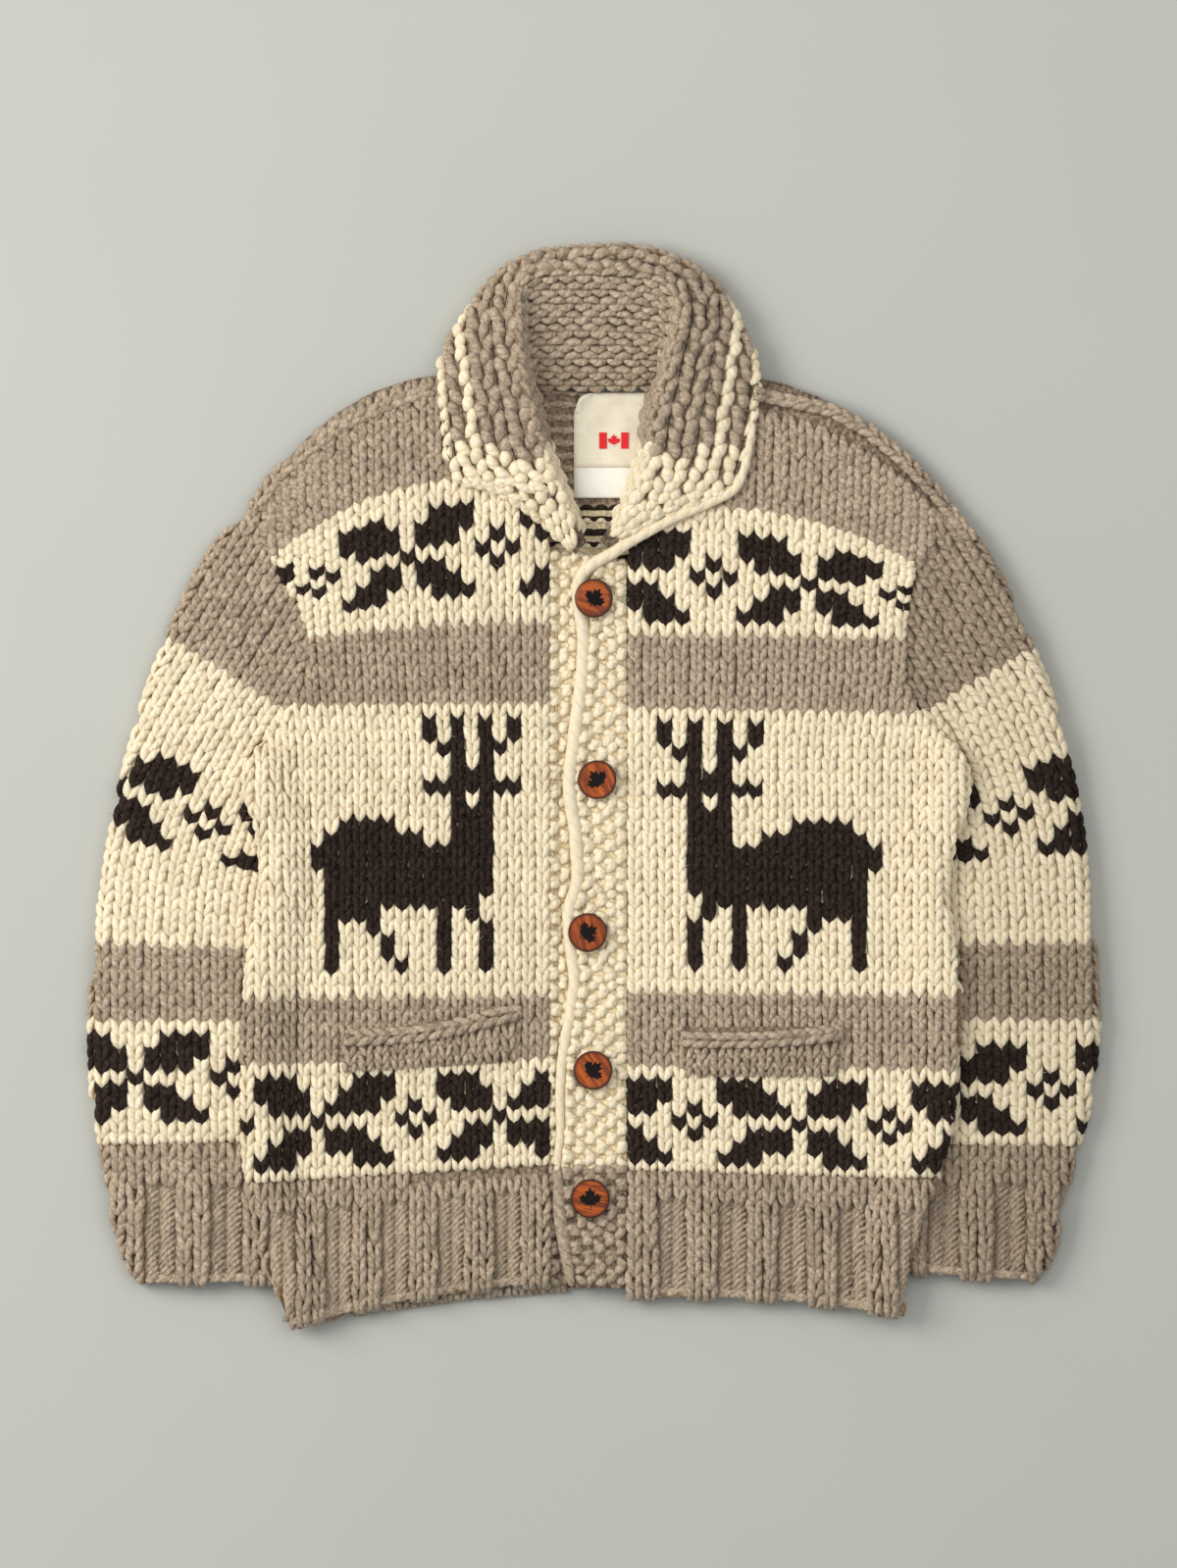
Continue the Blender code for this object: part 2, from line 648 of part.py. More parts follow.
def sleeve(name, table, armhole, times, mat, ribbed=False):
    """A flattened tube: rings run over the top and back below."""
    way = 1 if table[0][0] > 0 else -1
    edge = (0.0, 0.8, 3.0, 7.0, 13.0)
    steps = [math.dist(p, q) for p, q in zip(armhole, armhole[1:])]
    seam = sum(steps)
    vertices = [sum(steps[:i]) for i in range(1, len(steps))]
    outer, inner = [], []
    for t in times:
        row = row_at(table, t)
        a, b = sleeve_place(row, armhole, 0.0), sleeve_place(row, armhole, 1.0)
        width = math.dist(a, b)
        length = mix(width, seam, row[4])
        if ribbed:
            full = math.dist(sleeve_place(table[0], armhole, 0.0), sleeve_place(table[0], armhole, 1.0))
            places = [p * length / full for p in rib_places(full - edge[-1] - 4.0, edge[-1] + 3.0)]
        else:
            fit = (length - 2 * edge[-1]) / (seam - 2 * edge[-1])
            places = [edge[-1] + (v - edge[-1]) * fit for v in vertices]
        marks = list(edge) + places + [length - e for e in reversed(edge)]
        over_line, under_line, over_in, under_in = [], [], [], []
        for i, mark in enumerate(marks):
            w = mark / length
            x, y = sleeve_place(row, armhole, w)
            height = sleeve_height(x, y)
            radius = SLEEVE_ROUND if w < 0.5 else FOLD_ROUND
            share = round_fold(min(mark, length - mark), radius)
            half = FOLD_LIP + (height / 2 - FOLD_LIP) * share
            middle = height / 2
            raised = 0.0
            if ribbed and len(edge) <= i < len(edge) + len(places):
                ease = smooth(t / 0.5)
                raised = rib(mark * full / length) * ease
            if row[4] >= 1.0:
                x += way * HALF_GAP
            elif t == 0.0 and ribbed:
                y -= HALF_GAP
            elif t == times[-1] and not ribbed:
                y += HALF_GAP
            over_line.append((x, y, middle + half + raised))
            sunk = RIB_RAISE * smooth(t / 0.5) - raised if ribbed and raised < RIB_RAISE else 0.0
            in_reach = len(edge) <= i < len(edge) + len(places)
            under_line.append((x, y, middle - half + (sunk if in_reach else 0.0)))
            room = max(half - WALL, 0.2)
            mark_in = min(max(mark, WALL * 0.9 + 0.02 * mark), length - WALL * 0.9 - 0.02 * (length - mark))
            x_in, y_in = sleeve_place(row, armhole, mark_in / length)
            if row[4] >= 1.0:
                x_in += way * HALF_GAP
            elif t == 0.0 and ribbed:
                y_in -= HALF_GAP
            elif t == times[-1] and not ribbed:
                y_in += HALF_GAP
            over_in.append((x_in, y_in, middle + room))
            under_in.append((x_in, y_in, middle - room))
        outer.append(over_line + under_line[::-1])
        inner.append(over_in + under_in[::-1])
    return tube(name, outer, inner, mat)


def spline(points, steps):
    """Points at equal lengths on a smooth curve through the given ones."""
    dense = []
    last = len(points) - 1
    for i in range(last * 12 + 1):
        t = i / 12
        dense.append(Vector([curve([p[k] for p in points], t) for k in range(3)]))
    lengths = [0.0]
    for a, b in zip(dense, dense[1:]):
        lengths.append(lengths[-1] + (b - a).length)
    out = []
    j = 0
    for i in range(steps + 1):
        goal = lengths[-1] * i / steps
        while j < len(lengths) - 2 and lengths[j + 1] < goal:
            j += 1
        span = max(lengths[j + 1] - lengths[j], 1e-6)
        out.append(dense[j].lerp(dense[j + 1], min(max((goal - lengths[j]) / span, 0.0), 1.0)))
    return out


def collar_section(row):
    """Outer line of one collar section, foot to free end."""
    fx, fy, fz, cx, cy, cz, ex, ey, ez, drop, turn = row
    foot, crest, edge = Vector((fx, fy, fz)), Vector((cx, cy, cz)), Vector((ex, ey, ez))
    inward = Vector((cx - ex, cy - ey, 0.0)).normalized()
    steep = (crest - foot).xy.length < 20.0
    rise = foot.lerp(crest, 0.5)
    rise.z = mix(fz, cz, 0.56 if steep else 0.62)
    low = foot.lerp(crest, 0.18)
    low.z = mix(fz, cz, 0.2 if steep else 0.34)
    half = crest.lerp(edge, 0.5)
    half.z += 1.6
    tail = edge + inward * turn * 0.16
    tail.z = ez - drop * 0.86
    end = edge + inward * turn
    end.z = max(ez - drop, 0.2)
    stand = spline([foot, low, rise, crest], STAND_STEPS)
    fall = spline([crest, half, edge, tail, end], FALL_STEPS)
    return stand + fall[1:]


def collar(name, mat):
    lines = [collar_section(row) for row in COLLAR_SECTIONS]
    count = len(lines[0])
    upper, lower = [], []
    for s, line in enumerate(lines):
        before, after = lines[max(s - 1, 0)], lines[min(s + 1, len(lines) - 1)]
        top_line, low_line = [], []
        for i, p in enumerate(line):
            run = line[min(i + 1, count - 1)] - line[max(i - 1, 0)]
            around = after[i] - before[i]
            if around.length < 1e-6:
                around = Vector((0.0, 1.0, 0.0))
            out = around.cross(run)
            if out.length < 1e-6:
                out = Vector((0.0, 0.0, 1.0))
            out.normalize()
            share = min(max((i - STAND_STEPS) / FALL_STEPS, 0.0), 1.0)
            wall = mix(COLLAR_WALL, COLLAR_EDGE_WALL, share)
            tip = min(s, len(lines) - 1 - s)
            wall *= (0.45, 0.7, 0.9)[tip] if tip < 3 else 1.0
            raise_by = GARTER_RAISE * (0.5, 0.8, 1.0)[min(tip, 2)] if i % 2 else 0.0
            if i in (0, count - 1):
                raise_by = 0.0
            top = p + out * raise_by
            inner = p - out * wall
            top.z = max(top.z, 0.0)
            on_back = inner.y < back_edge(inner.x) + 1.0
            inner.z = max(inner.z, 7.1 if on_back else 0.1)
            top_line.append(tuple(top))
            low_line.append(tuple(inner))
        upper.append(top_line)
        lower.append(low_line)
    return sheet(name, upper, lower, mat)


def under_band(name, mat):
    """The right front's band, lying below the left one."""
    upper, lower = [], []
    for y in (UNDER_BAND_TOP, 60.0, -60.0, -180.0, -300.0, -345.0, -363.0):
        hem = smooth((-350.0 - y) / 20.0)
        end = 1.2 * hem
        xs = (RIGHT_BAND_X + HALF_GAP, -31.0, -28.6, -27.0, -5.0, 12.0, UNDER_BAND_END_X)
        tops = (14.6, 14.0, 11.8, 11.3, 11.3, 11.3, 10.8)
        lows = (9.1, 8.5, 6.3, 5.8, 5.8, 5.8, 6.2)
        upper.append([(x, y, z - end) for x, z in zip(xs, tops)])
        lower.append([(x, y, z) for x, z in zip(xs, lows)])
    return sheet(name, upper, lower, mat)


def over_band(name, mat):
    """The left front's band with its corded edge, lying on top."""
    upper, lower = [], []
    for y, edge_x in BAND_ROWS:
        end = 1.2 if y < -360.0 else 0.0
        offsets = (0.0, 0.8, 3.4, 6.4, 8.0)
        raises = (-2.6, 0.9, CORD_RAISE, 0.9, -0.4)
        xs = [edge_x + o for o in offsets] + [mix(edge_x + 8.0, 17.4, f) for f in (0.5, 1.0)]
        xs.append(LEFT_BAND_X - HALF_GAP)
        tops = [17.1 + r for r in raises] + [17.1, 16.6, 14.6]
        lows = [11.9, 11.6, 11.6, 11.6, 11.6, 11.6, 11.6, 9.1]
        upper.append([(x, y, z - end) for x, z in zip(xs, tops)])
        lower.append([(x, y, z) for x, z in zip(xs, lows)])
    return sheet(name, upper, lower, mat)


def pocket_lip(name, sizes, mat):
    """A ribbed lip on the front, its points moved out from the panel, with a braided edge."""
    x1, y1, x2, y2, foot1, foot2 = sizes
    upper, lower = [], []
    levels = ((0.0, 0.4), (0.08, 1.0), (0.6, 1.0), (0.72, 1.0), (0.9, 1.0), (1.0, 0.7))
    count = 18
    for v, thick in levels:
        top_line, low_line = [], []
        for i in range(count + 1):
            u = i / count
            x = mix(x1, x2, u)
            y = mix(mix(foot1, foot2, u), mix(y1, y2, u), v)
            seat = body_levels(x, y)[1] + GAP
            ends = smooth(min(u, 1.0 - u) * 10.0) * 0.6 + 0.4
            ridge = 1.1 if i % 2 and 0.05 < v < 0.6 and 0 < i < count else 0.0
            braid = BRAID_RAISE if 0.7 < v < 0.95 else 0.0
            top_line.append((x, y, seat + LIP_THICKNESS * min(thick, 1.0) * ends + ridge + braid * ends))
            low_line.append((x, y, seat))
        upper.append(top_line)
        lower.append(low_line)
    return sheet(name, upper, lower, mat)


def neck_label(name, mat):
    """A woven patch on the inside of the back neck with one loose corner."""
    upper, lower = [], []
    for j in range(6):
        v = j / 5
        top_line, low_line = [], []
        for i in range(6):
            u = i / 5
            loose = max(0.0, 0.42 - u - (1.0 - v)) / 0.42
            z = 5.8 + LABEL_CORNER_LIFT * loose ** 1.3
            x = mix(*LABEL_X, u) + 3.0 * loose
            y = mix(*LABEL_Y, v) - 3.0 * loose
            top_line.append((x, y, z + LABEL_THICKNESS))
            low_line.append((x, y, z))
        upper.append(top_line)
        lower.append(low_line)
    return sheet(name, upper, lower, mat)


def button(name, sizes, mat):
    """A turned disc with a short shank, sewn on the upper band."""
    x, y, lean, seat = sizes
    radius, thick, edge = BUTTON_DIAMETER / 2, BUTTON_THICKNESS, BUTTON_EDGE
    profile = (
        (0.0, -SHANK_LENGTH), (SHANK_RADIUS, -SHANK_LENGTH), (SHANK_RADIUS, 0.0),
        (radius - edge, 0.0), (radius, edge), (radius, thick - edge), (radius - edge, thick), (0.0, thick),
    )
    mesh = bpy.data.meshes.new(name)
    edges = [(i, i + 1) for i in range(len(profile) - 1)]
    mesh.from_pydata([(r * MM, 0.0, z * MM) for r, z in profile], edges, [])
    mesh.materials.append(mat)
    obj = bpy.data.objects.new(name, mesh)
    obj.location = (x * MM, y * MM, seat * MM)
    obj.rotation_euler = (0.0, math.radians(lean), 0.0)
    turn = obj.modifiers.new("turned", "SCREW")
    turn.axis = "Z"
    turn.angle = math.radians(360.0)
    turn.steps = BUTTON_SIDES
    turn.render_steps = BUTTON_SIDES
    turn.use_merge_vertices = True
    turn.merge_threshold = 0.00001
    turn.use_normal_calculate = True
    GARMENT.objects.link(obj)
    return obj


for old in list(bpy.data.objects):
    bpy.data.objects.remove(old, do_unlink=True)
GARMENT = bpy.data.collections.new("cowichan_cardigan")
bpy.context.scene.collection.children.link(GARMENT)

cream = material("cream wool", (0.80, 0.69, 0.46), 0.92)
grey = material("grey wool", (0.33, 0.27, 0.215), 0.94)
wood = material("button wood", (0.40, 0.12, 0.03), 0.38)
woven = material("woven label", (0.70, 0.62, 0.46), 0.85)

# body panels
back("back", cream)
front("front_right", RIGHT_ROWS, cream)
front("front_left", LEFT_ROWS, cream)

# hem rib
hem_back("hem_back", grey)
hem_front("hem_right", RIGHT_ROWS, grey)
hem_front("hem_left", LEFT_ROWS, grey)

# sleeves and cuffs
sleeve("sleeve_right", RIGHT_RINGS, RIGHT_ARMHOLE, SLEEVE_TIMES, cream)
sleeve("sleeve_left", LEFT_RINGS, LEFT_ARMHOLE, SLEEVE_TIMES, cream)
sleeve("cuff_right", RIGHT_CUFF, RIGHT_ARMHOLE, CUFF_TIMES, grey, ribbed=True)
sleeve("cuff_left", LEFT_CUFF, LEFT_ARMHOLE, CUFF_TIMES, grey, ribbed=True)

# front bands and collar
under_band("band_right", cream)
over_band("band_left", cream)
collar("collar", grey)

# pocket lips and label
pocket_lip("pocket_right", RIGHT_POCKET, grey)
pocket_lip("pocket_left", LEFT_POCKET, grey)
neck_label("label", woven)

# buttons
for number, sizes in enumerate(BUTTONS, start=1):
    button("button_%d" % number, sizes, wood)
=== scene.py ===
"""Looks of a heavy hand-knitted cardigan that lies flat on its back.

X runs to the wearer's left, Y from the hem to the collar, Z up. Tables are in
millimetres, and MM turns them into metres.
"""
import math
import random

import bpy
import numpy as np
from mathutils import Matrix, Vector
from mathutils.bvhtree import BVHTree


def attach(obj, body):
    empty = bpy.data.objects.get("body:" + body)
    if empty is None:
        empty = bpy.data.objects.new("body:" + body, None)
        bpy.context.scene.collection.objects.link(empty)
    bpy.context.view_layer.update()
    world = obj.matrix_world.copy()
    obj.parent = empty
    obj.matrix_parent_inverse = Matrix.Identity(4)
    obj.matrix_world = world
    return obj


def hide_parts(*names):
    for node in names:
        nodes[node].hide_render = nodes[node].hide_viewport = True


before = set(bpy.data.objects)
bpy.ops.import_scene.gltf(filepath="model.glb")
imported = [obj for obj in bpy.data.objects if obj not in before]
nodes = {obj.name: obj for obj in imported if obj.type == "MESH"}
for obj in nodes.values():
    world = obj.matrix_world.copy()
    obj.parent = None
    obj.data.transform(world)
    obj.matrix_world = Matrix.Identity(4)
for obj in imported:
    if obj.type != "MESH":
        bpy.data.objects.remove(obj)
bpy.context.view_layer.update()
scene = bpy.context.scene
MM = 0.001

# ---------------------------------------------------------------- camera and light
# The garment is photographed from straight above on a pale surface, in soft
# light from the upper left, with a weaker fill from all around.
CAMERA_HEIGHT = 9.6
CAMERA_SHIFT = (-0.0043, 0.0029)
LENS = 300.0
camera_data = bpy.data.cameras.new("camera")
camera_data.lens = LENS
camera_data.sensor_fit = "VERTICAL"
camera_data.sensor_height = 36.0
camera_data.clip_end = 40.0
camera = bpy.data.objects.new("camera", camera_data)
camera.location = (CAMERA_SHIFT[0], CAMERA_SHIFT[1], CAMERA_HEIGHT)
scene.collection.objects.link(camera)
scene.camera = camera
scene.view_settings.view_transform = "Standard"

LIGHTS = (
    # name, place, size, power
    ("window", (-2.35, 0.75, 2.1), 1.9, 83.0),
    ("fill", (0.9, 1.0, 3.0), 2.8, 30.0),
)
for light_name, place, size, power in LIGHTS:
    lamp = bpy.data.lights.new(light_name, "AREA")
    lamp.size = size
    lamp.energy = power
    lamp.color = (1.0, 0.985, 0.955)
    light = bpy.data.objects.new(light_name, lamp)
    light.location = place
    light.rotation_euler = (-Vector(place)).to_track_quat("-Z", "Y").to_euler()
    scene.collection.objects.link(light)
world = bpy.data.worlds.new("room")
world.use_nodes = True
background = world.node_tree.nodes["Background"].inputs
background["Color"].default_value = (0.93, 0.96, 1.0, 1.0)
background["Strength"].default_value = 0.49
scene.world = world


# ---------------------------------------------------------------- floor
# A plain pale matt board under the garment.
def paint(red, green, blue):
    """A colour as screens show it, 0 to 255, as linear light."""
    return tuple(((v / 255 + 0.055) / 1.055) ** 2.4 if v > 10 else v / 255 / 12.92
                 for v in (red, green, blue)) + (1.0,)


class Shade:
    """A socket of a material's nodes. Sums and products of sockets make Math nodes."""

    def __init__(self, tree, socket=None):
        self.tree = tree
        self.socket = socket

    def node(self, kind, settings=None, inputs=None, out=0):
        """A new node: its settings, then its socket values or links."""
        made = self.tree.nodes.new(kind)
        for key, value in (settings or {}).items():
            setattr(made, key, value)
        for key, value in (inputs or {}).items():
            if isinstance(value, Shade):
                self.tree.links.new(value.socket, made.inputs[key])
            else:
                made.inputs[key].default_value = value
        return Shade(self.tree, made.outputs[out])

    def math(self, operation, *values):
        return self.node("ShaderNodeMath", {"operation": operation}, dict(enumerate(values)))

    def __add__(self, other):
        return self.math("ADD", self, other)

    def __sub__(self, other):
        return self.math("SUBTRACT", self, other)

    def __mul__(self, other):
        return self.math("MULTIPLY", self, other)

    def __truediv__(self, other):
        return self.math("DIVIDE", self, other)

    def __radd__(self, other):
        return self.math("ADD", other, self)

    def __rsub__(self, other):
        return self.math("SUBTRACT", other, self)

    def __rmul__(self, other):
        return self.math("MULTIPLY", other, self)

    def sine(self):
        return self.math("SINE", self)

    def size(self):
        return self.math("ABSOLUTE", self)

    def fraction(self):
        return self.math("FRACT", self)

    def split(self):
        """The first two parts of a vector."""
        made = self.node("ShaderNodeSeparateXYZ", {}, {0: self})
        return made, Shade(self.tree, made.socket.node.outputs[1])

    def place(self):
        """The place on the object, in metres."""
        return self.node("ShaderNodeTexCoord", out=3)

    def noise(self, place, scale, detail=2.0):
        return self.node("ShaderNodeTexNoise", {},
                         {"Vector": place, "Scale": scale, "Detail": detail})

    def ramp(self, low, high):
        """0 below `low`, 1 above `high`, soft between."""
        return self.node("ShaderNodeMapRange", {"interpolation_type": "SMOOTHSTEP"},
                         {0: self, 1: low, 2: high})

    def blend(self, low, high):
        """The colour `low` where this is 0 and `high` where it is 1."""
        return self.node("ShaderNodeMix", {"data_type": "RGBA"}, {0: self, 6: low, 7: high}, out=2)

    def times(self, colour, share=1.0):
        """This colour multiplied by another, by a share of it."""
        return self.node("ShaderNodeMix", {"data_type": "RGBA", "blend_type": "MULTIPLY"},
                         {0: share, 6: self, 7: colour}, out=2)


def new_material(name):
    """An empty material: the material, its node maker and its Principled shader."""
    made = bpy.data.materials.new(name)
    made.use_nodes = True
    return made, Shade(made.node_tree), made.node_tree.nodes["Principled BSDF"]


def finish_material(shade, shader, colour, roughness, height=None, depth=0.001, strength=1.0):
    """Link colour, roughness and a bump of a given depth into the shader."""
    links = shade.tree.links
    links.new(colour.socket, shader.inputs["Base Color"])
    if isinstance(roughness, Shade):
        links.new(roughness.socket, shader.inputs["Roughness"])
    else:
        shader.inputs["Roughness"].default_value = roughness
    if height is not None:
        bump = shade.node("ShaderNodeBump", {},
                          {"Height": height, "Distance": depth, "Strength": strength})
        links.new(bump.socket, shader.inputs["Normal"])


FLOOR_SIZE = 6.0
floor_mesh = bpy.data.meshes.new("floor")
half = FLOOR_SIZE / 2
floor_mesh.from_pydata([(-half, -half, 0), (half, -half, 0), (half, half, 0), (-half, half, 0)],
                       [], [(0, 1, 2, 3)])
floor = bpy.data.objects.new("floor", floor_mesh)
floor.location.z = -0.0004
scene.collection.objects.link(floor)
board, shade, shader = new_material("board")
cloud = shade.noise(shade.place(), 2.5, 3.0)
finish_material(shade, shader, cloud.blend(paint(181, 181, 173), paint(188, 188, 180)), 0.8)
floor_mesh.materials.append(board)


# ---------------------------------------------------------------- yarn
# Thick hand-spun wool, softly twisted from two plies, undyed: cream, a
# heathered grey and a near-black. Every stitch is a plump strand of it.
TWIST = 6.2
YARNS = (
    # name, dark heather, middle, light heather, sheen, strength of the painted shade in the grooves
    # and under the strands, which also deepens the darkest stitch tone
    ("cream yarn", (224, 199, 152), (243, 230, 200), (247, 238, 216), 0.15, 0.4),
    ("grey yarn", (92, 76, 62), (178, 157, 131), (232, 215, 192), 0.15, 1.0),
    ("dark yarn", (12, 7, 5), (27, 17, 13), (86, 68, 58), 0.02, 0.8),
)
CREAM, GREY, DARK = 0, 1, 2
WHITE = (1, 1, 1, 1)


def wool(name, dark, middle, light, sheen, painted_shade_depth):
    """Twisted yarn: the strand's own length and round give the twist, fibres and painted shade."""
    made, shade, shader = new_material(name)
    place = shade.place()
    along, around = shade.node("ShaderNodeUVMap", {"uv_map": "strand"}).split()
    turn = along + around
    plies = (turn * TWIST).sine().size()
    fibre_place = shade.node("ShaderNodeCombineXYZ", {}, {0: turn * 14.0, 1: (along - around) * 1.6})
    fibres = shade.noise(fibre_place, 1.6, 3.0)
    heather = shade.noise(place, 330.0, 3.0)
    patch = shade.noise(place, 26.0)
    own = shade.node("ShaderNodeAttribute", {"attribute_name": "own"}, out=2)
    tone = (heather * 0.55 + fibres * 0.45).ramp(0.3, 0.72)
    base = tone.blend(paint(*dark), paint(*light))
    base = shade.node("ShaderNodeMix", {"data_type": "RGBA"},
                      {0: 0.5, 6: base, 7: paint(*middle)}, out=2)
    # Each stitch's own tone, soft patches and the piece's shift of tone darken or lighten it; on the
    # left sleeve that shift is a painted shade
    tone_and_shade = (own * 0.6 + patch * 0.4).ramp(-0.1, 0.85)
    pale = 0.92 - 0.14 * painted_shade_depth
    tone_and_shade_tint = tone_and_shade.blend((pale, pale - 0.01, pale - 0.03, 1), (1.05, 1.05, 1.05, 1))
    # Painted shade in the grooves between the two plies of the twist
    ply_groove_shade = plies.ramp(0.0, 0.35).blend((0.74, 0.70, 0.66, 1), WHITE)
    # Painted shade on the lower sides of each strand's round, where the strands lie over each other
    upper = (around * (2 * math.pi)).sine().ramp(-0.35, 0.7).blend((0.62, 0.52, 0.39, 1), WHITE)
    base = base.times(tone_and_shade_tint).times(ply_groove_shade, 0.9 * painted_shade_depth).times(upper, painted_shade_depth)
    height = plies * 0.55 + fibres * 0.35 + heather * 0.2
    finish_material(shade, shader, base, 0.9, height, 0.0011, 0.8)
    shader.inputs["Sheen Weight"].default_value = sheen
    shader.inputs["Sheen Roughness"].default_value = 0.5
    shader.inputs["Specular IOR Level"].default_value = 0.15
    return made


yarn_materials = [wool(*row) for row in YARNS]
LOWEST = 0.0002


def add_piece(name, mesh, slot):
    """Put a mesh in the scene as a piece of the garment."""
    obj = bpy.data.objects.new(name, mesh)
    scene.collection.objects.link(obj)
    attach(obj, "root")
    return obj


def strands_object(name, strands, slot, sides=6, repeat=0.010, tone_and_shade=0.0):
    """One mesh of many plump closed strands.

    A strand is (points, normal, half width, half height, yarn, own shade); its
    points are millimetre places along its middle, and it tapers at both ends.
    The last argument shifts the tone of the whole piece: less than 0 makes it a
    little darker, more than 0 lighter. On the left sleeve this shift is a painted shade.
    """
    count = len(strands)
    steps = len(strands[0][0])
    path = np.array([s[0] for s in strands]) * MM
    normal = np.array([s[1] for s in strands])
    if normal.ndim == 2:
        normal = np.repeat(normal[:, None, :], steps, axis=1)
    wide = np.array([s[2] for s in strands]) * MM
    high = np.array([s[3] for s in strands]) * MM
    yarn = np.array([s[4] for s in strands])
    own = np.array([s[5] for s in strands])
    run = np.gradient(path, axis=1)
    run /= np.linalg.norm(run, axis=2, keepdims=True) + 1e-12
    side = np.cross(normal, run)
    side /= np.linalg.norm(side, axis=2, keepdims=True) + 1e-12
    up = np.cross(run, side)
    t = np.linspace(0.0, 1.0, steps)
    plump = 0.30 + 0.70 * np.sin(np.pi * (0.05 + 0.90 * t)) ** 0.7
    angle = np.arange(sides) / sides * 2 * np.pi
    reach_out = np.cos(angle)[None, None, :, None] * (wide[:, None] * plump)[:, :, None, None]
    reach_up = np.sin(angle)[None, None, :, None] * (high[:, None] * plump)[:, :, None, None]
    ring = side[:, :, None, :] * reach_out + up[:, :, None, :] * reach_up
    rings = path[:, :, None, :] + ring
    first = path[:, 0] - run[:, 0] * wide[:, None] * 0.45
    last = path[:, -1] + run[:, -1] * wide[:, None] * 0.45
    points = np.concatenate([rings.reshape(count, -1, 3), first[:, None], last[:, None]], axis=1)
    points[:, :, 2] = np.maximum(points[:, :, 2], LOWEST)
    per = steps * sides + 2
    quads, quad_uv, caps, cap_uv = [], [], [], []
    for i in range(steps - 1):
        for k in range(sides):
            n = (k + 1) % sides
            quads.append((i * sides + k, i * sides + n, (i + 1) * sides + n, (i + 1) * sides + k))
            quad_uv.append(((i, k), (i, k + 1), (i + 1, k + 1), (i + 1, k)))
    for k in range(sides):
        n = (k + 1) % sides
        caps.append((steps * sides, n, k))
        cap_uv.append(((-0.3, k + 0.5), (0, k + 1), (0, k)))
        base = (steps - 1) * sides
        caps.append((steps * sides + 1, base + k, base + n))
        cap_uv.append(((steps - 0.7, k + 0.5), (steps - 1, k), (steps - 1, k + 1)))
    quads, caps = np.array(quads), np.array(caps)
    offset = np.arange(count)[:, None, None] * per
    loops = np.concatenate([(quads[None] + offset).ravel(), (caps[None] + offset).ravel()])
    sizes = np.concatenate([np.full(count * len(quads), 4), np.full(count * len(caps), 3)])
    starts = np.concatenate([[0], np.cumsum(sizes)[:-1]])
    mesh = bpy.data.meshes.new(name)
    mesh.vertices.add(count * per)
    mesh.vertices.foreach_set("co", points.ravel())
    mesh.loops.add(len(loops))
    mesh.loops.foreach_set("vertex_index", loops.astype(np.int32))
    mesh.polygons.add(len(sizes))
    mesh.polygons.foreach_set("loop_start", starts.astype(np.int32))
    mesh.polygons.foreach_set("loop_total", sizes.astype(np.int32))
    per_face = np.concatenate([np.repeat(yarn, len(quads)), np.repeat(yarn, len(caps))])
    mesh.polygons.foreach_set("material_index", per_face.astype(np.int32))
    mesh.polygons.foreach_set("use_smooth", np.ones(len(sizes), bool))
    length = np.linalg.norm(np.diff(path, axis=1), axis=2).sum(axis=1)
    scale = length / repeat / (steps - 1)
    shift = own * 7.0
    layer = mesh.uv_layers.new(name="strand")
    both = []
    for table in (np.array(quad_uv, float), np.array(cap_uv, float)):
        u = table[None, :, :, 0] * scale[:, None, None] + shift[:, None, None]
        v = np.broadcast_to(table[None, :, :, 1] / sides, u.shape)
        both.append(np.stack([u, v], axis=-1).reshape(-1, 2))
    layer.data.foreach_set("uv", np.concatenate(both).ravel())
    attribute = mesh.attributes.new("own", "FLOAT", "FACE")
    own_face = np.concatenate([np.repeat(own, len(quads)), np.repeat(own, len(caps))])
    attribute.data.foreach_set("value", own_face + tone_and_shade)
    mesh.update(calc_edges=True)
    for made in yarn_materials:
        mesh.materials.append(made)
    return add_piece(name, mesh, slot)


# ---------------------------------------------------------------- cloth under the stitches
# The knitted layers themselves: body panels, sleeves, ribs, bands, collar and
# pocket lips. Each is a thin shell on its solid, drawn in a little below it, so
# that the stitches worked on it stand at the solid's face. Unseen faces show
# the knitting by their colour and bump.
CLOTHS = (
    # solid, how far it is drawn in (mm), kind of cloth
    ("back", 1.2, "body"),
    ("front_right", 1.5, "body"),
    ("front_left", 1.5, "body"),
    ("hem_back", 1.2, "grey"),
    ("hem_right", 1.4, "grey"),
    ("hem_left", 1.4, "grey"),
    ("sleeve_right", 1.5, "sleeve"),
    ("sleeve_left", 1.5, "sleeve"),
    ("cuff_right", 1.4, "grey"),
    ("cuff_left", 1.4, "grey"),
    ("band_right", 0.7, "band"),
    ("band_left", 0.7, "band"),
    ("collar", 2.4, "grey"),
    ("pocket_right", 0.9, "grey"),
    ("pocket_left", 0.9, "grey"),
)
# heights in mm at which the yarn changes, from the hem up: grey below the first one, then
# cream and grey in turn
BODY_BANDS = (-286.0, -206.0, -148.0, 62.0, 118.0, 205.0)
SLEEVE_BANDS = (-400.0, -170.0, -112.0, 62.0)
BAND_GREY_Y = -282.0
KNIT_STITCH = (0.0110, 0.0093)


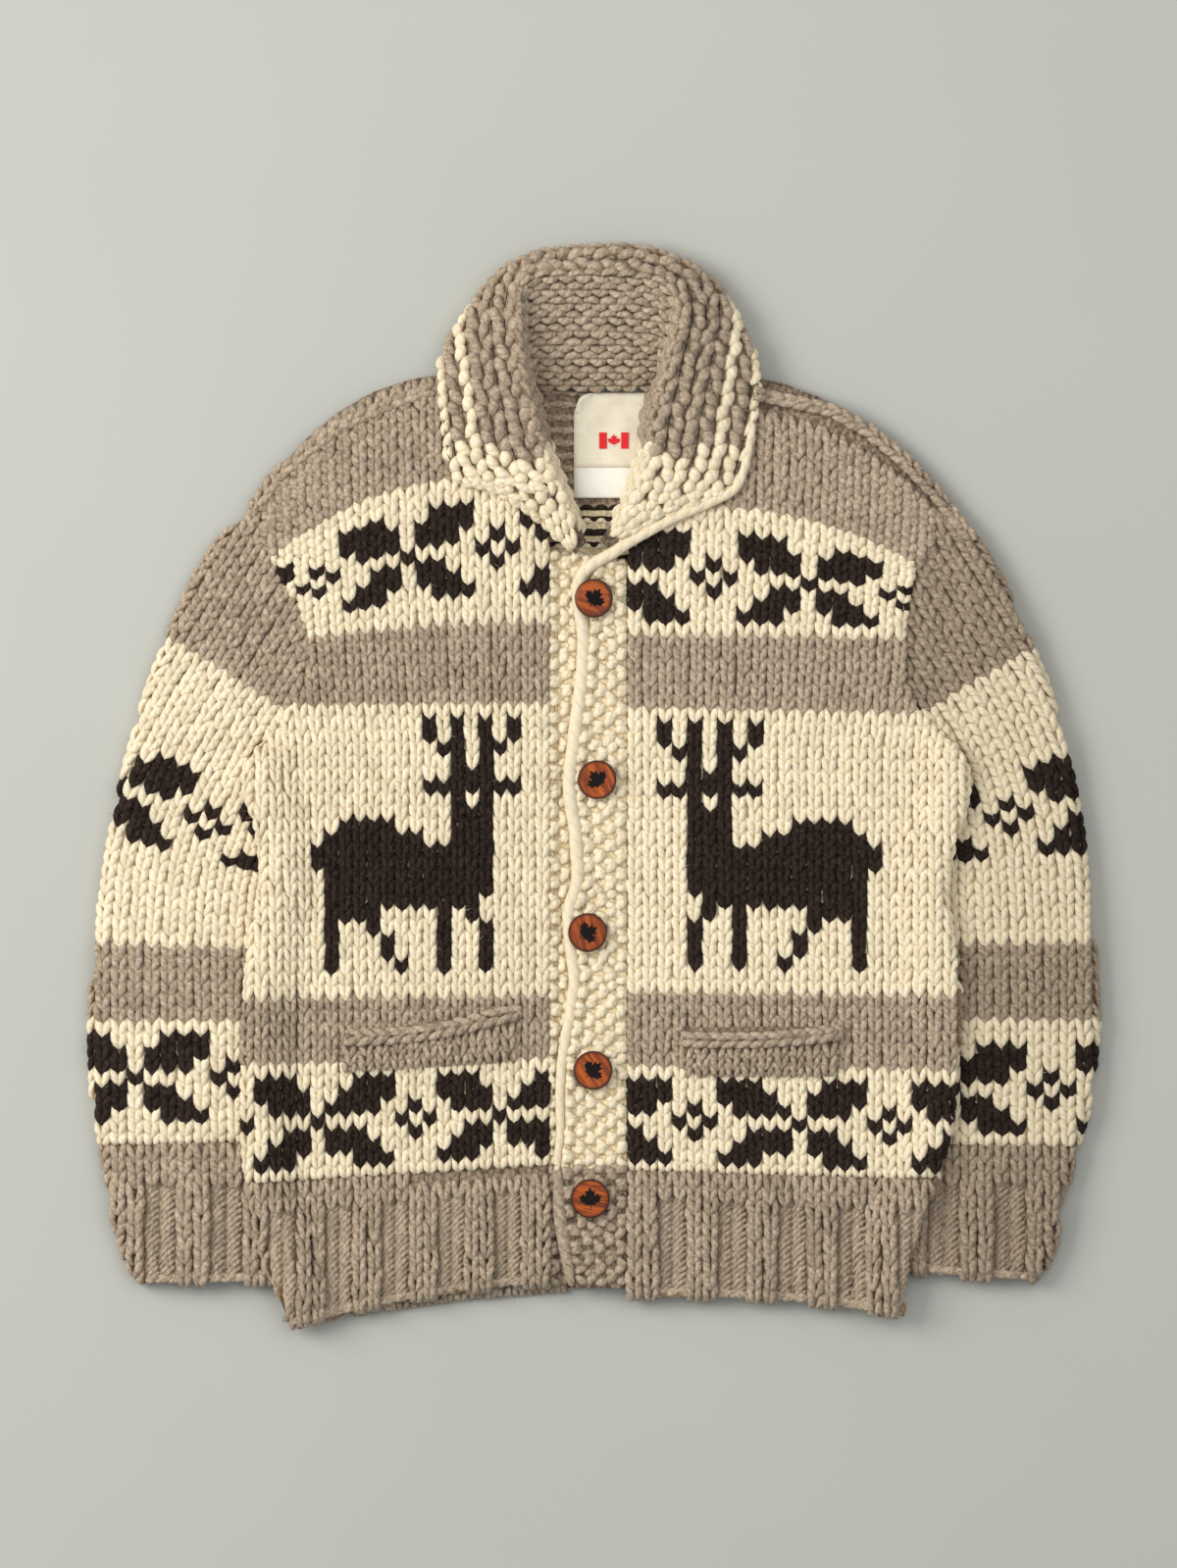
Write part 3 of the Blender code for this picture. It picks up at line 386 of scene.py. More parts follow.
def cloth(name, bands):
    """Plain knitting from afar: rows of V shapes by bump and painted shade, striped by height."""
    made, shade, shader = new_material(name)
    place = shade.place()
    x, y = place.split()
    wide, tall = KNIT_STITCH
    fold = ((x / wide).fraction() - 0.5).size()
    in_row = ((y / tall - fold * 1.5).fraction() - 0.5).size()
    relief = (1.0 - in_row * 1.4) * (1.0 - (fold - 0.25).size() * 2.4)
    heather = shade.noise(place, 300.0, 3.0)
    fluff = shade.noise(place, 60.0)
    tone = heather.ramp(0.3, 0.72)
    cream = tone.blend(paint(228, 206, 162), paint(248, 234, 200))
    grey = tone.blend(paint(112, 95, 78), paint(172, 153, 131))
    levels = {"body": BODY_BANDS, "sleeve": SLEEVE_BANDS, "band": (BAND_GREY_Y,), "grey": ()}[bands]
    base = grey
    if levels:
        share = 1.0
        for i, level in enumerate(levels):
            share = y.math("GREATER_THAN", y, level * MM) * (-1.0 if i % 2 == 0 else 1.0) + share
        base = share.blend(cream, grey)
    # Painted shade in the hollows of the V relief, between the stitches
    deep = relief.ramp(0.0, 0.5).blend((0.62, 0.58, 0.54, 1), WHITE)
    finish_material(shade, shader, base.times(deep, 0.8), 0.95,
                    relief + fluff * 0.3 + heather * 0.15, 0.0022)
    shader.inputs["Specular IOR Level"].default_value = 0.1
    return made


cloth_materials = {kind: cloth(kind + " cloth", kind) for kind in ("body", "sleeve", "grey", "band")}


def read(items, key, width=1, kind=float):
    """A number or a vector of every item of a mesh, as an array."""
    values = np.zeros(len(items) * width, kind)
    items.foreach_get(key, values)
    return values.reshape(-1, width) if width > 1 else values


for solid, inset, kind in CLOTHS:
    mesh = nodes[solid].data.copy()
    mesh.name = solid + "_cloth"
    mesh.materials.clear()
    mesh.materials.append(cloth_materials[kind])
    spots = read(mesh.vertices, "co", 3) - read(mesh.vertices, "normal", 3) * inset * MM
    spots[:, 2] = np.maximum(spots[:, 2], LOWEST)
    mesh.vertices.foreach_set("co", spots.ravel())
    mesh.polygons.foreach_set("use_smooth", np.ones(len(mesh.polygons), bool))
    mesh.update()
    add_piece(solid + "_cloth", mesh, "grey_wool" if kind == "grey" else "cream_wool")
    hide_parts(solid)


# ---------------------------------------------------------------- fronts
# Two stocking-stitch panels, cream with grey stripes, a row of dark leaf and
# flower shapes at the chest and above the hem, and a deer on each.
RIGHT_ROWS = (
    # inner y, inner x, outer y, outer x, bend, from the hem up
    (-363, -33, -394, -222, 1.6), (-340, -33, -366, -234, 1.4), (-305, -33, -326, -245, 1.2),
    (-275, -33, -289, -254, 1.0), (-232, -33, -240, -258, 1.0), (-190, -33, -194, -257, 1.0),
    (-143, -33, -146, -255, 1.0), (-100, -33, -102, -250, 1.0), (-66, -33, -66, -243, 1.0),
    (-38, -33, -38, -245, 1.0), (-14, -33, -15, -251, 1.0), (2, -33, 0, -256, 1.0),
    (16, -33, 13, -256, 1.2), (36, -33, 30, -248, 1.4), (51, -33, 49, -228, 1.5),
    (75, -33, 75, -213, 1.6), (97, -33, 96, -207, 1.8), (129, -33, 114, -207, 2.2),
    (165, -33, 136, -217, 2.4), (200, -34, 154, -228, 2.6), (240, -46, 175, -238, 2.7),
    (306, -60, 205, -252, 3.0),
)
LEFT_ROWS = (
    (-372, 24, -386, 223, 2.6), (-345, 24, -357, 230, 2.0), (-307, 24, -318, 239, 1.4),
    (-278, 24, -285, 251, 1.0), (-236, 24, -242, 262, 1.0), (-196, 24, -199, 265, 1.0),
    (-153, 24, -156, 268, 1.0), (-103, 24, -105, 261, 1.0), (-72, 24, -73, 257, 1.0),
    (-44, 24, -44, 262, 1.0), (-20, 24, -20, 270, 1.0), (0, 24, 0, 274, 1.0),
    (16, 24, 14, 273, 1.0), (32, 24, 28, 266, 1.2), (50, 24, 44, 250, 1.4),
    (66, 24, 64, 233, 1.5), (84, 24, 82, 228, 1.6), (122, 24, 118, 226, 1.9),
    (162, 24, 143, 230, 2.4), (203, 33, 161, 237, 2.8), (240, 47, 180, 247, 2.8),
    (306, 59, 208, 259, 2.6),
)
# charts, top row first: X is dark yarn
DEER = (
    "X.X.X.X........",
    "X.X.X.X........",
    ".XX.XX.........",
    "..X.X..........",
    "..XXX..........",
    "XXXXXXX........",
    "..X.X..........",
    "..XXX..........",
    "..XXX....XXXX..",
    "..XXX..XXXXXXX.",
    "..XXXXXXXXXXXXX",
    "..XXXXXXXXXXXXX",
    "..XXXXXXXXXXXX.",
    "..XXXXXXXXXXXX.",
    "...XXXXXXXXXXX.",
    "...X.X....XXXX.",
    "..X..X....X..X.",
    "..X..X...X...X.",
    "..X..X...X...X.",
    "..X..X..X....X.",
)
LEAVES_12 = (
    # four leaves round a stitch, then a small flower
    "XXX...XXX...",
    "XXXX.XXXX...",
    ".XXX.XXX..X.",
    "....X....X.X",
    "..XX.XX...X.",
    ".XXX.XXX....",
    "XXX...XXX...",
)
LEAVES_13 = (
    "XXX....XXX...",
    "XXXX..XXXX...",
    ".XXXX.XXX..X.",
    ".....X....X.X",
    "..XXX.XX...X.",
    ".XXXX.XXX....",
    "XXX....XXX...",
)
PANELS = {
    # way, rows, pitch of columns and rows, x where the pitch of rows holds, a shift of the
    # whole panel's tone (less than 0 darker), heights where the yarn changes (grey first),
    # charts: (chart, repeat, column 0's x, top row's y)
    "front_right": dict(
        way=-1, rows=RIGHT_ROWS, column=10.3, row=9.35, middle=-140, tone_and_shade=-0.1,
        bands=(-285, -200, -147, 64, 119, 220),
        charts=((DEER, 0, -58.5, 49.0), (LEAVES_12, 12, -94.0, 195.0),
                (LEAVES_13, 13, -19.0, -208.0)),
    ),
    "front_left": dict(
        way=1, rows=LEFT_ROWS, column=11.0, row=9.05, middle=130, tone_and_shade=0.25,
        bands=(-283, -200, -147, 62, 112, 205),
        charts=((DEER, 0, 52.6, 42.0), (LEAVES_12, 12, 106.5, 183.0),
                (LEAVES_13, 13, 90.3, -212.0)),
    ),
}


def mix(a, b, t):
    """The value at a share t of the way from a to b."""
    return a + (b - a) * t


def between(at, places, values):
    """The value at a place on straight lines through tabled ones."""
    return float(np.interp(at, places, values))


def bridge(before, a, b, after, f):
    """A smooth curve at a share f of the way from a to b, in line with its neighbours."""
    m0, m1 = (b - before) / 2, (after - a) / 2
    f2, f3 = f * f, f * f * f
    return (a * (2 * f3 - 3 * f2 + 1) + m0 * (f3 - 2 * f2 + f)
            + b * (3 * f2 - 2 * f3) + m1 * (f3 - f2))


def curve(values, t):
    """A value of a table column at a fractional row, on a smooth curve through the rows."""
    last = len(values) - 1
    i = min(max(int(t), 0), last - 1)
    f = t - i
    a, b = values[i], values[i + 1]
    before = values[i - 1] if i > 0 else 2 * a - b
    after = values[i + 2] if i + 2 <= last else 2 * b - a
    return bridge(before, a, b, after, f)


def search_tree(names):
    """A search tree over CAD solids, with the solid that owns each face."""
    points, faces, owners = [], [], []
    for name in names:
        mesh = nodes[name].data
        base = len(points)
        points += [v.co / MM for v in mesh.vertices]
        for face in mesh.polygons:
            faces.append([base + i for i in face.vertices])
            owners.append(name)
    return BVHTree.FromPolygons(points, faces), owners


whole_tree, whole_owners = search_tree(sorted(nodes))
trees = {name: search_tree([name])[0] for name in nodes}
DOWN = Vector((0.0, 0.0, -1.0))
ON_TOP = 90.0


def seen(x, y):
    """The solid that shows from above at a place, or None beside the garment."""
    hit = whole_tree.ray_cast(Vector((x, y, ON_TOP)), DOWN)
    return whole_owners[hit[2]] if hit[0] else None


def lay(tree, x, y):
    """The point and normal of a solid under a place; past its outline, round its fold."""
    hit = tree.ray_cast(Vector((x, y, ON_TOP)), DOWN)
    if hit[0]:
        return hit[0], hit[1]
    near = tree.find_nearest(Vector((x, y, 20.0)))
    over = (near[0].xy - Vector((x, y))).length
    near = tree.find_nearest(Vector((x, y, near[0].z - 0.9 * over)))
    return near[0], near[1]


rng = random.Random(7)
STEPS = 6
LEG = dict(wide=0.262, high=2.7, reach=(-0.50, 1.16))
LEG_SPREAD = (0.02, 0.13, 0.22, 0.29, 0.35, 0.40)
RIB_SPREAD = (0.04, 0.14, 0.22, 0.28, 0.33, 0.37)
LEG_LIFT = (-0.4, 0.8, 1.0, 0.3, -1.2, -3.0)
RIB_ROWS = 8
PURL_SLOPE = 1.3


def stitch(tree, grid, s, r, yarn, out, wide_scale=1.0, lift=0.0, spread=LEG_SPREAD):
    """A plain stitch: two plump legs that meet at the tip of a V."""
    own = rng.random()
    bend = rng.uniform(-0.09, 0.09)
    rise = rng.uniform(-0.06, 0.06)
    for side in (-1, 1):
        points, normal_sum = [], Vector()
        low, high = LEG["reach"]
        wander = rng.uniform(-0.05, 0.05)
        slip = rise + rng.uniform(-0.05, 0.05)
        for i in range(STEPS):
            f = i / (STEPS - 1)
            across = s + side * spread[i] + bend * f + wander
            x, y = grid(across, r + slip + mix(low, high, f))
            spot, normal = lay(tree, x, y)
            normal_sum += normal
            points.append(spot + normal * (LEG_LIFT[i] + lift))
        normal_sum.normalize()
        a, b = grid(s - 0.5, r + 0.5), grid(s + 0.5, r + 0.5)
        pitch = math.dist(a, b)
        width = pitch * LEG["wide"] * wide_scale * rng.uniform(0.88, 1.1)
        out.append((points, normal_sum, width, LEG["high"] * rng.uniform(0.94, 1.06), yarn,
                    min(max(own + rng.uniform(-0.15, 0.15), 0.0), 1.0)))


def bar(tree, grid, s, r, yarn, out, length=0.56, high=2.4, lift=-0.4, tall=0.34,
        arch=0.16, slope=0.0):
    """A purl stitch: one short bar across the column."""
    points, normal_sum = [], Vector()
    for i in range(STEPS):
        f = i / (STEPS - 1)
        rise = arch * math.sin(math.pi * f) + slope * (f - 0.5) + rng.uniform(-0.02, 0.02)
        x, y = grid(s + mix(-length, length, f), r + rise)
        spot, normal = lay(tree, x, y)
        normal_sum += normal
        points.append(spot + normal * (lift - 1.5 * abs(2 * f - 1) ** 2))
    normal_sum.normalize()
    a, b = grid(s, r - 0.5), grid(s, r + 0.5)
    out.append((points, normal_sum, math.dist(a, b) * tall, high, yarn, rng.random()))


def rib_stitch(tree, grid, column, row, purl, slope, out):
    """One stitch of the ribs: a raised plain one, or two sunk purl bars."""
    if not purl:
        stitch(tree, grid, column + 0.5, row, GREY, out, spread=RIB_SPREAD, lift=1.8)
        return
    for half_row in (0.25, 0.75):
        bar(tree, grid, column + 0.5, row + half_row, GREY, out,
            length=0.50, tall=0.26, high=3.0, lift=-1.9, slope=slope)


def panel_grid(panel):
    """Place of a stitch of a front: columns from its inner edge, rows from the hem."""
    rows, way, middle = panel["rows"], panel["way"], panel["middle"]
    times = [i * 0.1 for i in range(211)]

    def line(t, x):
        in_y, in_x, out_y, out_x, bend = (curve([row[k] for row in rows], t) for k in range(5))
        u = min(max((x - in_x) / (out_x - in_x), 0.0), 1.15)
        return in_y + (out_y - in_y) * u ** bend

    levels = [line(t, middle) for t in times]
    start = rows[0][1]
    tables = np.array([[curve([row[k] for row in rows], t) for k in range(5)] for t in times])

    def grid(s, r):
        level = levels[0] + r * panel["row"]
        t = between(level, levels, times)
        over = level - levels[-1] if level > levels[-1] else min(level - levels[0], 0.0)
        i = min(int(t * 10), 209)
        in_y, in_x, out_y, out_x, bend = tables[i] + (tables[i + 1] - tables[i]) * (t * 10 - i)
        fan = 1.0 + 0.09 * max(t - 13.0, 0.0) / 8.0
        x = start + way * s * panel["column"] * fan
        u = min(max((x - in_x) / (out_x - in_x), 0.0), 1.1)
        return x, in_y + (out_y - in_y) * u ** bend + over

    return grid, levels[0]


def chart_yarn(panel, bands_base, column, row):
    """Yarn of a stitch of a panel by its stripes and charts."""
    level = bands_base + (row + 0.5) * panel["row"]
    yarn = GREY if sum(level > edge for edge in panel["bands"]) % 2 == 0 else CREAM
    for chart, repeat, x0, y0 in panel["charts"]:
        first = round((x0 - panel["rows"][0][1]) * panel["way"] / panel["column"] - 0.5)
        top = round((y0 - bands_base) / panel["row"] - 0.5)
        k, line = column - first, top - row
        if repeat:
            k %= repeat
        if 0 <= line < len(chart) and 0 <= k < len(chart[0]) and chart[line][k] == "X":
            return DARK
    return yarn


def shows(name, x, y, reach=5.0):
    """True where a solid shows from above at a place or close to it."""
    return any(seen(x + dx, y + dy) == name
               for dx, dy in ((0, 0), (reach, 0), (-reach, 0), (0, reach), (0, -reach)))


stitches = {}
for name, panel in PANELS.items():
    grid, base = panel_grid(panel)
    rib_name = name.replace("front", "hem")
    out, rib_out = [], []
    for row in range(-2, 72):
        for column in range(0, 27):
            x, y = grid(column + 0.5, row + 0.5)
            if shows(name, x, y):
                yarn = chart_yarn(panel, base, column, row)
                stitch(trees[name], grid, column + 0.5, row, yarn, out)
            elif y > 130.0 and abs(x) > 70.0 and shows("back", x, y, 2.0):
                stitch(whole_tree, grid, column + 0.5, row, GREY, out)
            elif shows(rib_name, x, y):
                if row >= RIB_ROWS:
                    stitch(trees[rib_name], grid, column + 0.5, row, GREY, rib_out)
                else:
                    rib_stitch(trees[rib_name], grid, column, row, column % 4 >= 2,
                               PURL_SLOPE * panel["way"], rib_out)
    stitches[name] = strands_object(name + "_stitches", out, "cream_wool", tone_and_shade=panel["tone_and_shade"])
    stitches[rib_name] = strands_object(rib_name + "_stitches", rib_out, "grey_wool")

# ---------------------------------------------------------------- sleeves
# Wide sleeves knitted from the shoulder down, cream with a grey top and stripe,
# two rows of dark leaf and flower shapes, and a grey ribbed cuff.
SLEEVES = {
    # way, top of the middle column, middles of two flowers, a shift of the whole sleeve's
    # tone (the left sleeve's is a painted shade, as it lies away from the light), lean of
    # the columns: (height, degrees)
    "sleeve_right": dict(
        way=-1, top=(-272.0, 78.0), flowers=((-283.0, -23.0), (-264.0, -214.5)), tone_and_shade=0.0,
        lean=((-400, 0.0), (-130, 0.0), (-60, 8.0), (-19, 21.0), (40, 30.0), (80, 32.0), (300, 32.0)),
    ),
    "sleeve_left": dict(
        # painted shade: this sleeve lies on the side away from the light, so all its stitches are made
        # darker
        way=1, top=(285.0, 80.0), flowers=((304.0, -18.0), (337.0, -214.6)), tone_and_shade=-1.1,
        lean=((-400, 0.0), (-130, 0.0), (-60, 3.0), (-19, 9.0), (40, 25.0), (80, 31.0), (300, 32.0)),
    ),
}
SLEEVE_STITCH = (12.1, 9.3)
SLEEVE_STRIPE = (-171.0, -113.0)
CUFF_TOP = -290
# steps of the middle line below and above its top, and their length
SLEEVE_DOWN, SLEEVE_UP, SLEEVE_STEP = 260, 90, 2.0


def sleeve_grid(sleeve):
    """Place of a stitch of a sleeve: columns from a middle line, rows from its top, downward."""
    way = sleeve["way"]

    def lean(y):
        return math.radians(between(y, *zip(*sleeve["lean"])))

    line = [sleeve["top"]]
    for direction in (-1, 1):
        x, y = sleeve["top"]
        part = []
        for _ in range(SLEEVE_DOWN if direction < 0 else SLEEVE_UP):
            angle = lean(y)
            x += -way * math.sin(angle) * SLEEVE_STEP * direction
            y += math.cos(angle) * SLEEVE_STEP * direction
            part.append((x, y))
        line = part[::-1] + line if direction < 0 else line + part
    line = np.array(line)

    def grid(s, r):
        f = min(max(SLEEVE_DOWN - r * SLEEVE_STITCH[1] / SLEEVE_STEP, 0.0), len(line) - 1.001)
        i = int(f)
        x, y = line[i] + (line[i + 1] - line[i]) * (f - i)
        angle = lean(y)
        reach = s * SLEEVE_STITCH[0]
        return x + math.cos(angle) * reach, y + way * math.sin(angle) * reach

    return grid


for name, sleeve in SLEEVES.items():
    down_grid = sleeve_grid(sleeve)

    def nearest(x, y, around, step):
        """The stitch place nearest to a point, searched in steps about another."""
        return min((math.dist(down_grid(around[0] + i * step, -around[1] - j * step), (x, y)),
                    around[0] + i * step, around[1] + j * step)
                   for i in range(-12, 13) for j in range(-26, 27))[1:]

    flowers = []
    for x, y in sleeve["flowers"]:
        rough = nearest(x, y, (0.0, -14.0), 1.0)
        flowers.append(nearest(x, y, nearest(x, y, rough, 0.1), 0.02))
    shift_s, shift_r = ((part - 0.5) % 1.0 for part in flowers[0])

    def grid(s, r, down_grid=down_grid, shift_s=shift_s, shift_r=shift_r):
        return down_grid(s + shift_s, -r - shift_r)

    out, cuff_out = [], []
    cuff_name = name.replace("sleeve", "cuff")
    flowers = [(round(s - shift_s - 0.5), round(r - shift_r - 0.5)) for s, r in flowers]
    for row in range(-50, 24):
        for column in range(-11, 12):
            x, y = grid(column + 0.5, row + 0.5)
            cuff = shows(cuff_name, x, y) and not shows(name, x, y, 1.0)
            if not cuff and not shows(name, x, y):
                continue
            yarn = CREAM
            middle_y = grid(0.0, row + 0.5)[1]
            if row >= 0 or SLEEVE_STRIPE[0] < middle_y < SLEEVE_STRIPE[1] or cuff:
                yarn = GREY
            for first, flower_row in flowers:
                k = (column - first + 10) % 12
                line = flower_row - row + 3
                if not cuff and 0 <= line < 7 and LEAVES_12[line][k] == "X":
                    yarn = DARK
            if cuff and middle_y < CUFF_TOP:
                rib_stitch(trees[cuff_name], grid, column, row, (column - 2) % 4 >= 2,
                           PURL_SLOPE, cuff_out)
            elif cuff:
                stitch(trees[cuff_name], grid, column + 0.5, row, yarn, cuff_out)
            else:
                stitch(trees[name], grid, column + 0.5, row, yarn, out)
    for piece, strands, slot in ((name, out, "cream_wool"), (cuff_name, cuff_out, "grey_wool")):
        stitches[piece] = strands_object(piece + "_stitches", strands, slot, tone_and_shade=sleeve["tone_and_shade"])


def back_rib_grid(s, r):
    """The back's rib, where it shows past the fronts' ribs."""
    return -250.0 + s * 10.5, -402.0 + r * 9.3


out = []
for row in range(-1, 9):
    for column in range(48):
        x, y = back_rib_grid(column + 0.5, row + 0.5)
        if shows("hem_back", x, y, 4.0):
            stitch(trees["hem_back"], back_rib_grid, column + 0.5, row, GREY, out,
                   spread=RIB_SPREAD)
stitches["hem_back"] = strands_object("hem_back_stitches", out, "grey_wool", tone_and_shade=-0.4)

# ---------------------------------------------------------------- collar
# A shawl collar in garter stitch, turned down over itself: its ridges run round
# the neck, grey with one cream ridge and a cream edge, and cream at both tips.
COLLAR_SECTIONS = (
    # foot x, y, z, crest x, y, z, edge x, y, z, drop, turn
    (-5, 181, 13.5, -8, 179, 21, -13, 172, 18.6, 3.0, 0.5),
    (-11, 195, 9.0, -16, 191, 24, -23, 180, 20.0, 4.4, 1.0),
    (-18, 213, 8.0, -23, 211, 27, -46, 201, 20.5, 4.6, 1.0),
    (-23, 226, 8.0, -29, 224, 29, -74, 218, 20.5, 4.6, 1.0),
    (-28, 237, 8.0, -34, 236, 31, -97, 225, 20.5, 4.6, 1.0),
    (-33, 253, 8.0, -40, 252, 33, -106, 245, 20.5, 4.6, 1.0),
    (-38, 272, 8.0, -45, 272, 36, -109, 269, 20.5, 4.6, 1.0),
    (-42, 291, 8.0, -51, 292, 39, -111, 292, 21.0, 5.0, 1.5),
    (-44, 297, 8.0, -54, 312, 42, -111, 309, 20.5, 7.0, 3.0),
    (-45, 298, 8.0, -56, 333, 43, -107, 327, 18.0, 12.0, 8.0),
    (-45, 297, 8.0, -57, 352, 42, -98, 343, 16.5, 15.5, 20.0),
    (-44, 296, 8.0, -55, 367, 39, -85, 362, 15.5, 15.2, 34.0),
    (-42, 294, 8.0, -47, 377, 36, -68, 381, 15.0, 14.8, 44.0),
    (-35, 292, 8.0, -34, 380, 34, -43, 393, 15.0, 14.8, 50.0),
    (-18, 291.5, 8.0, -15, 380, 33, -17, 397, 15.0, 14.8, 52.0),
    (2, 291.5, 8.0, 5, 380, 33, 8, 398, 15.0, 14.8, 52.0),
    (22, 291.5, 8.0, 26, 379, 33, 34, 397, 15.0, 14.8, 52.0),
    (38, 292, 8.0, 44, 376, 34, 59, 390, 15.0, 14.8, 48.0),
    (44, 294, 8.0, 56, 370, 36, 79, 380, 15.0, 14.8, 44.0),
    (46, 296, 8.0, 62, 358, 39, 94, 364, 15.5, 15.2, 34.0),
    (47, 297, 8.0, 62, 342, 42, 105, 346, 16.5, 15.5, 20.0),
    (47, 298, 8.0, 58, 325, 43, 112, 328, 18.0, 12.0, 8.0),
    (45, 297, 8.0, 53, 307, 42, 117, 311, 20.5, 7.0, 3.0),
    (41, 290, 8.0, 49, 291, 39, 118, 292, 21.0, 5.0, 1.5),
    (36, 272, 8.0, 44, 272, 36, 115, 268, 20.5, 4.6, 1.0),
    (34, 254, 8.0, 42, 253, 33, 111, 244, 20.5, 4.6, 1.0),
    (31, 238, 8.0, 38, 236, 31, 103, 222, 20.5, 4.6, 1.0),
    (26, 223, 8.0, 33, 220, 29, 84, 211, 20.5, 4.6, 1.0),
    (19, 206, 8.0, 25, 203, 27, 58, 200, 20.5, 4.6, 1.0),
    (9, 190, 9.0, 14, 187, 24, 28, 184, 20.0, 4.4, 1.0),
    (3, 181, 13.5, 6, 179, 21, 12, 174, 18.6, 3.0, 0.5),
)
RIDGES_INSIDE = 9
RIDGES_OUTSIDE = 7
CREAM_RIDGES = (4, 6)
CREAM_TIP_Y = 238.0
# the two interlocking rows of one inside ridge: share of the ridge's width
SMILES, ARCHES = 0.33, 0.70
# pitch of the strands along an inside and an outside ridge
BEAN_PITCHES = (12.4, 9.6)
NARROW_RIDGE = 6.0
INSIDE_STEPS, OUTSIDE_STEPS = 24, 56


def running(line):
    """The length from the start of a line to each of its points."""
    lengths = [0.0]
    for a, b in zip(line, line[1:]):
        lengths.append(lengths[-1] + math.dist(a, b))
    return lengths


def even_line(points, steps):
    """Points at equal lengths on a smooth curve through the given ones."""
    last = len(points) - 1
    dense = [Vector([curve([p[k] for p in points], i / 12) for k in range(3)])
             for i in range(last * 12 + 1)]
    lengths = running(dense)
    return [Vector([between(lengths[-1] * i / steps, lengths, [p[k] for p in dense])
                    for k in range(3)])
            for i in range(steps + 1)]


def collar_line(row):
    """Face of one collar section: inside from foot to crest, and outside to the free end."""
    fx, fy, fz, cx, cy, cz, ex, ey, ez, drop, turn = row
    foot, crest, edge = Vector((fx, fy, fz)), Vector((cx, cy, cz)), Vector((ex, ey, ez))
    inward = Vector((cx - ex, cy - ey, 0.0)).normalized()
    steep = (crest - foot).xy.length < 20.0
    rise = foot.lerp(crest, 0.5)
    rise.z = mix(fz, cz, 0.56 if steep else 0.62)
    low = foot.lerp(crest, 0.18)
    low.z = mix(fz, cz, 0.2 if steep else 0.34)
    half_way = crest.lerp(edge, 0.5)
    half_way.z += 1.6
    tail = edge + inward * turn * 0.16
    tail.z = ez - drop * 0.86
    end = edge + inward * turn
    end.z = max(ez - drop, 0.2)
    return (even_line([foot, low, rise, crest], INSIDE_STEPS),
            even_line([crest, half_way, edge, tail, end], OUTSIDE_STEPS))


collar_lines = [collar_line(row) for row in COLLAR_SECTIONS]


def collar_point(s, outside, v):
    """Point of the collar's face at a fractional section, a share v of its inside or outside."""
    i = min(max(int(s), 0), len(collar_lines) - 2)
    f = s - i
    spots = []
    for line in (collar_lines[max(i - 1, 0)], collar_lines[i], collar_lines[i + 1],
                 collar_lines[min(i + 2, len(collar_lines) - 1)]):
        part = line[outside]
        t = v * (len(part) - 1)
        j = min(int(t), len(part) - 2)
        spots.append(part[j].lerp(part[j + 1], t - j))
    return bridge(*spots, f)


out = []
last = len(collar_lines) - 1
ridges = [(0, (k + share) / RIDGES_INSIDE, 2 * k + odd)
          for k in range(RIDGES_INSIDE) for odd, share in enumerate((SMILES, ARCHES))]
ridges += [(1, (k + 0.45) / RIDGES_OUTSIDE, k) for k in range(RIDGES_OUTSIDE)]
for outside, v, k in ridges:
    step = 1.0 / (RIDGES_OUTSIDE if outside else RIDGES_INSIDE)
    places = [s * 0.05 for s in range(last * 20 + 1)]
    lengths = running([collar_point(s, outside, v) for s in places])
    pitch = BEAN_PITCHES[outside]
    number = int(lengths[-1] / pitch)
    centre = 0.0 if outside else lengths[len(lengths) // 2] - number // 2 * pitch
    for n in range(1, number if outside else number - 1):
        swing = 1 if n % 2 else -1
        way = 1 if k % 2 else -1
        points, normal_sum = [], Vector()
        if outside:
            jitter = rng.uniform(-1.1, 1.1) + swing * 1.3
            tilt = rng.uniform(2.5, 6.5) * way
            arch = rng.uniform(2.0, 4.5) * way
        else:
            jitter = rng.uniform(-0.6, 0.6)
            tilt = rng.uniform(-2.5, 2.5)
            arch = rng.uniform(7.0, 10.5) * way
        for i in range(STEPS):
            f = i / (STEPS - 1) - 0.5
            at = centre + (n + f * (1.16 if outside else 1.0) + 0.5 * (k % 2)) * pitch
            s = between(at, lengths, places)
            spot = collar_point(s, outside, v)
            across = (collar_point(s, outside, min(v + 0.02, 1.0))
                      - collar_point(s, outside, max(v - 0.02, 0.0)))
            along = (collar_point(min(s + 0.2, last), outside, v)
                     - collar_point(max(s - 0.2, 0.0), outside, v))
            normal = along.cross(across).normalized()
            across.normalize()
            normal_sum += normal
            spot = spot + across * (jitter + f * tilt + arch * (0.12 - f * f))
            points.append(spot + normal * ((-1.4 if outside else 0.3) - 13.0 * abs(f) ** 2.5))
            if i == 2:
                middle = spot
                room = (collar_point(s, outside, min(v + step / 2, 1.0))
                        - collar_point(s, outside, max(v - step / 2, 0.0))).length
        cream = ((outside and k in CREAM_RIDGES)
                 or middle.y < CREAM_TIP_Y + (20.0 * v if outside else 14.0))
        narrow = room < NARROW_RIDGE
        if narrow and k % (2 if outside else 4):
            continue
        normal_sum.normalize()
        wide = 1.12 * room if narrow else (0.56 if outside else 0.33) * room
        out.append((points, normal_sum, min(4.8, max(wide, 2.4)) * rng.uniform(0.88, 1.1),
                    (4.0 if outside or narrow else 4.2) * rng.uniform(0.92, 1.08),
                    CREAM if cream else GREY, rng.random()))
stitches["collar"] = strands_object("collar_stitches", out, "grey_wool")

